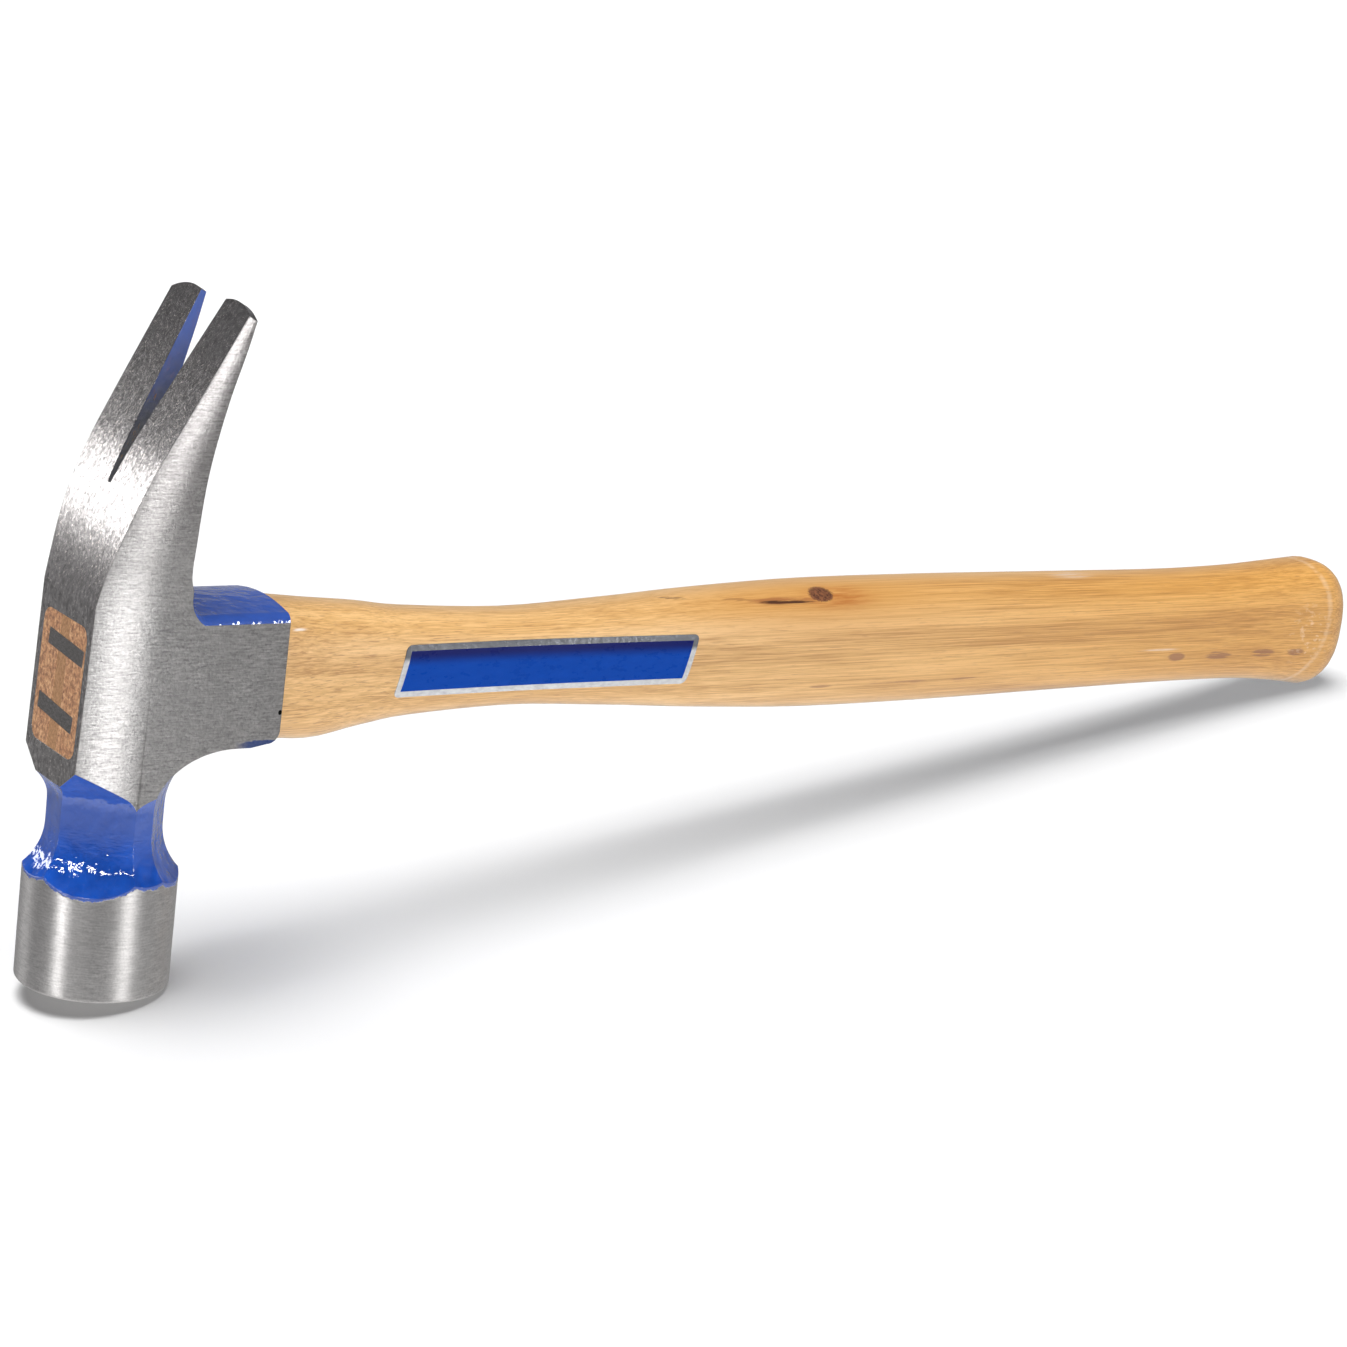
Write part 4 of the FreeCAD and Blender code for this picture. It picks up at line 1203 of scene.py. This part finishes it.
# %% Faces of the foil: its front, its back and the rim between them
wide, tall = len(columns), len(levels)
layer = wide * tall
faces, kinds = [], []
for j in range(tall - 1):
    for i in range(wide - 1):
        a = j * wide + i
        u = (columns[i] + columns[i + 1]) / 2
        v = (levels[j] + levels[j + 1]) / 2
        printed = (abs(u) * label_half < label_half - label_border
                   and abs(v) < label_high - label_border)
        faces.append((a, a + 1, a + wide + 1, a + wide))
        faces.append((layer + a, layer + a + wide, layer + a + wide + 1, layer + a + 1))
        kinds += [int(printed), 0]
rim = list(range(wide)) + [j * wide + wide - 1 for j in range(1, tall)]
rim += [(tall - 1) * wide + i for i in range(wide - 2, -1, -1)]
rim += [j * wide for j in range(tall - 2, 0, -1)]
for a, b in zip(rim, rim[1:] + rim[:1]):
    faces.append((a, layer + a, layer + b, b))
    kinds.append(0)
label = new_object("foil_label", verts, faces, foil)
label.data.materials.append(ink)
label.data.polygons.foreach_set("material_index", kinds)
settle(label, 30, "handle_label", slot="label_foil")

# %% [markdown]
# ## The wedges
# The wedges are flat-sided, so the CAD's own meshes are right as they are and only need
# their finish: paler, drier wood for the wooden one and dull, smeared steel for the two
# iron ones.

# %% Wedge finishes
wedge_wood, tree, shader = new_finish("sawn_wedge_wood", Metallic=0.0, Roughness=0.55, IOR=1.45)
grain = stretched(tree, upright_place(tree), (0.5, 2.4, 1.2), 4.0, 0.65)
tree.links.new(ramp(tree, grain, (0.35, (0.30, 0.13, 0.05, 1)), (0.62, (0.56, 0.30, 0.13, 1))),
               shader.inputs["Base Color"])
relief(tree, shader, grain, 0.08)
wedge_steel = steel("dull_wedge_steel", (0.20, 0.19, 0.185), lines=(0.8, 0.8, 2.4), grit=2.6,
                    roughness=0.42, depth=0.06, edge=0.15)[0]
for name, finish in (("wood_wedge", wedge_wood), ("steel_wedge_claw_side", wedge_steel),
                     ("steel_wedge_face_side", wedge_steel)):
    node = frame["nodes"][name]
    node.data.materials.clear()
    node.data.materials.append(finish)
    print(name, "finish", finish.name)

# %% [markdown]
# ## Floor, lamps and camera
# The hammer lies on a plain white table in a white room. Polished and ground steel show
# the room more than their own colour, so the lamps are large soft panels, placed where
# each face needs its reflection: one from the left and one from the front right give the
# poll its two bright bands, and one behind on the left makes the claws' bend shine. These
# panels are only seen as mirror images, so `visible_diffuse` is off. The light that falls
# on the wood, the enamel and the table comes from a low fill in front and from two broad
# suns high above, whose soft edges make the shadow; they are kept out of the mirror
# images. So is the table, or the steel would turn white all over. The room's walls grow
# darker upwards in the steel, but look white to the camera itself.

# %% Floor
floor_half = 12.0
floor_finish, tree, shader = new_finish("white_table", Metallic=0.0, Roughness=0.9, IOR=1.3)
spot = add(tree, "ShaderNodeTexCoord").outputs["Object"]
speck = add(tree, "ShaderNodeTexNoise", {"Vector": spot, "Scale": 8.0, "Detail": 2.0})
paper = ramp(tree, speck.outputs["Fac"], (0.3, (0.86, 0.86, 0.86, 1)), (0.7, (0.88, 0.88, 0.88, 1)))
far_away = between(tree, split(tree, spot)["Y"], 0.1, 1.2)
tree.links.new(blend(tree, far_away, paper, (0.93, 0.93, 0.93, 1)), shader.inputs["Base Color"])
floor = new_object("table", [(-floor_half, -floor_half, 0), (floor_half, -floor_half, 0),
                             (floor_half, floor_half, 0), (-floor_half, floor_half, 0)],
                   [(0, 1, 2, 3)], floor_finish)
floor.visible_glossy = False
print("table", 2 * floor_half, "m wide")

# %% World
world = bpy.data.worlds.new("white_room")
bpy.context.scene.world = world
world.use_nodes = True
tree = world.node_tree
sky = tree.nodes["Background"]
way = add(tree, "ShaderNodeTexCoord").outputs["Generated"]
rise = maths(tree, "MULTIPLY_ADD", split(tree, way)["Z"], 0.5, 0.5)
walls = ramp(tree, rise, (0.0, (1.0, 1.0, 1.0, 1)), (0.33, (0.42, 0.42, 0.42, 1)),
             (0.50, (0.34, 0.34, 0.35, 1)), (0.62, (0.22, 0.22, 0.23, 1)),
             (0.78, (0.085, 0.085, 0.09, 1)))
seen = add(tree, "ShaderNodeLightPath").outputs["Is Camera Ray"]
tree.links.new(blend(tree, seen, walls, (1.0, 1.0, 1.0, 1)), sky.inputs["Color"])
sky.inputs["Strength"].default_value = 1.0
bpy.context.scene.view_settings.view_transform = "Standard"
print("world nodes", len(tree.nodes))


# %% A soft panel
def way_to(azimuth, elevation):
    """The direction from the hammer to an azimuth and an elevation, in degrees."""
    a, e = math.radians(azimuth), math.radians(elevation)
    return Vector((math.sin(a) * math.cos(e), -math.cos(a) * math.cos(e), math.sin(e)))


def softbox(name, azimuth, elevation, distance, width, height, power):
    """A soft panel that looks at the head from an azimuth and an elevation."""
    way = way_to(azimuth, elevation)
    target = Vector((-0.12, 0, 0.06))
    lamp = bpy.data.lights.new(name, "AREA")
    lamp.shape = "RECTANGLE"
    lamp.size = width
    lamp.size_y = height
    lamp.energy = power
    obj = bpy.data.objects.new(name, lamp)
    obj.location = target + way * distance
    obj.rotation_euler = way.to_track_quat("Z", "Y").to_euler()
    bpy.context.scene.collection.objects.link(obj)
    return obj


# %% Panels, fill and suns
for row in (("lamp_left", -76, 14, 1.6, 0.22, 0.9, 8.2),
            ("lamp_front_right", 20.6, 14, 1.6, 0.28, 0.9, 12.0),
            ("lamp_back_left", -145, 15, 1.6, 0.6, 0.24, 2.8),
            ("lamp_high", -46, 46, 1.6, 0.16, 0.16, 2.6)):
    softbox(*row).visible_diffuse = False
softbox("fill_front", -12, 5, 2.2, 1.2, 0.38, 18.0).visible_glossy = False
for name, lean_by in (("sun_front", 6.0), ("sun_back", -14.0)):
    sun = bpy.data.lights.new(name, "SUN")
    sun.energy = 1.8
    sun.angle = math.radians(36)
    obj = bpy.data.objects.new(name, sun)
    obj.rotation_euler = (math.radians(lean_by), 0, 0)
    obj.visible_glossy = False
    bpy.context.scene.collection.objects.link(obj)

# %% Camera
camera_place = (-0.51086, -0.708502, 0.346177)
camera_azimuth, camera_elevation, camera_roll = -34.2509, 19.0994, math.radians(-0.1373)
camera_data = bpy.data.cameras.new("portrait")
camera_data.lens = 86.589
camera_data.sensor_width = 36.0
camera = bpy.data.objects.new("portrait", camera_data)
back = way_to(camera_azimuth, camera_elevation)
level = Vector((math.cos(math.radians(camera_azimuth)), math.sin(math.radians(camera_azimuth)), 0))
right = level * math.cos(camera_roll) + back.cross(level) * math.sin(camera_roll)
turned = Matrix((right, back.cross(right), back)).transposed().to_4x4()
camera.matrix_world = Matrix.Translation(camera_place) @ turned
bpy.context.scene.collection.objects.link(camera)
bpy.context.scene.camera = camera
print("camera at", tuple(camera.location))
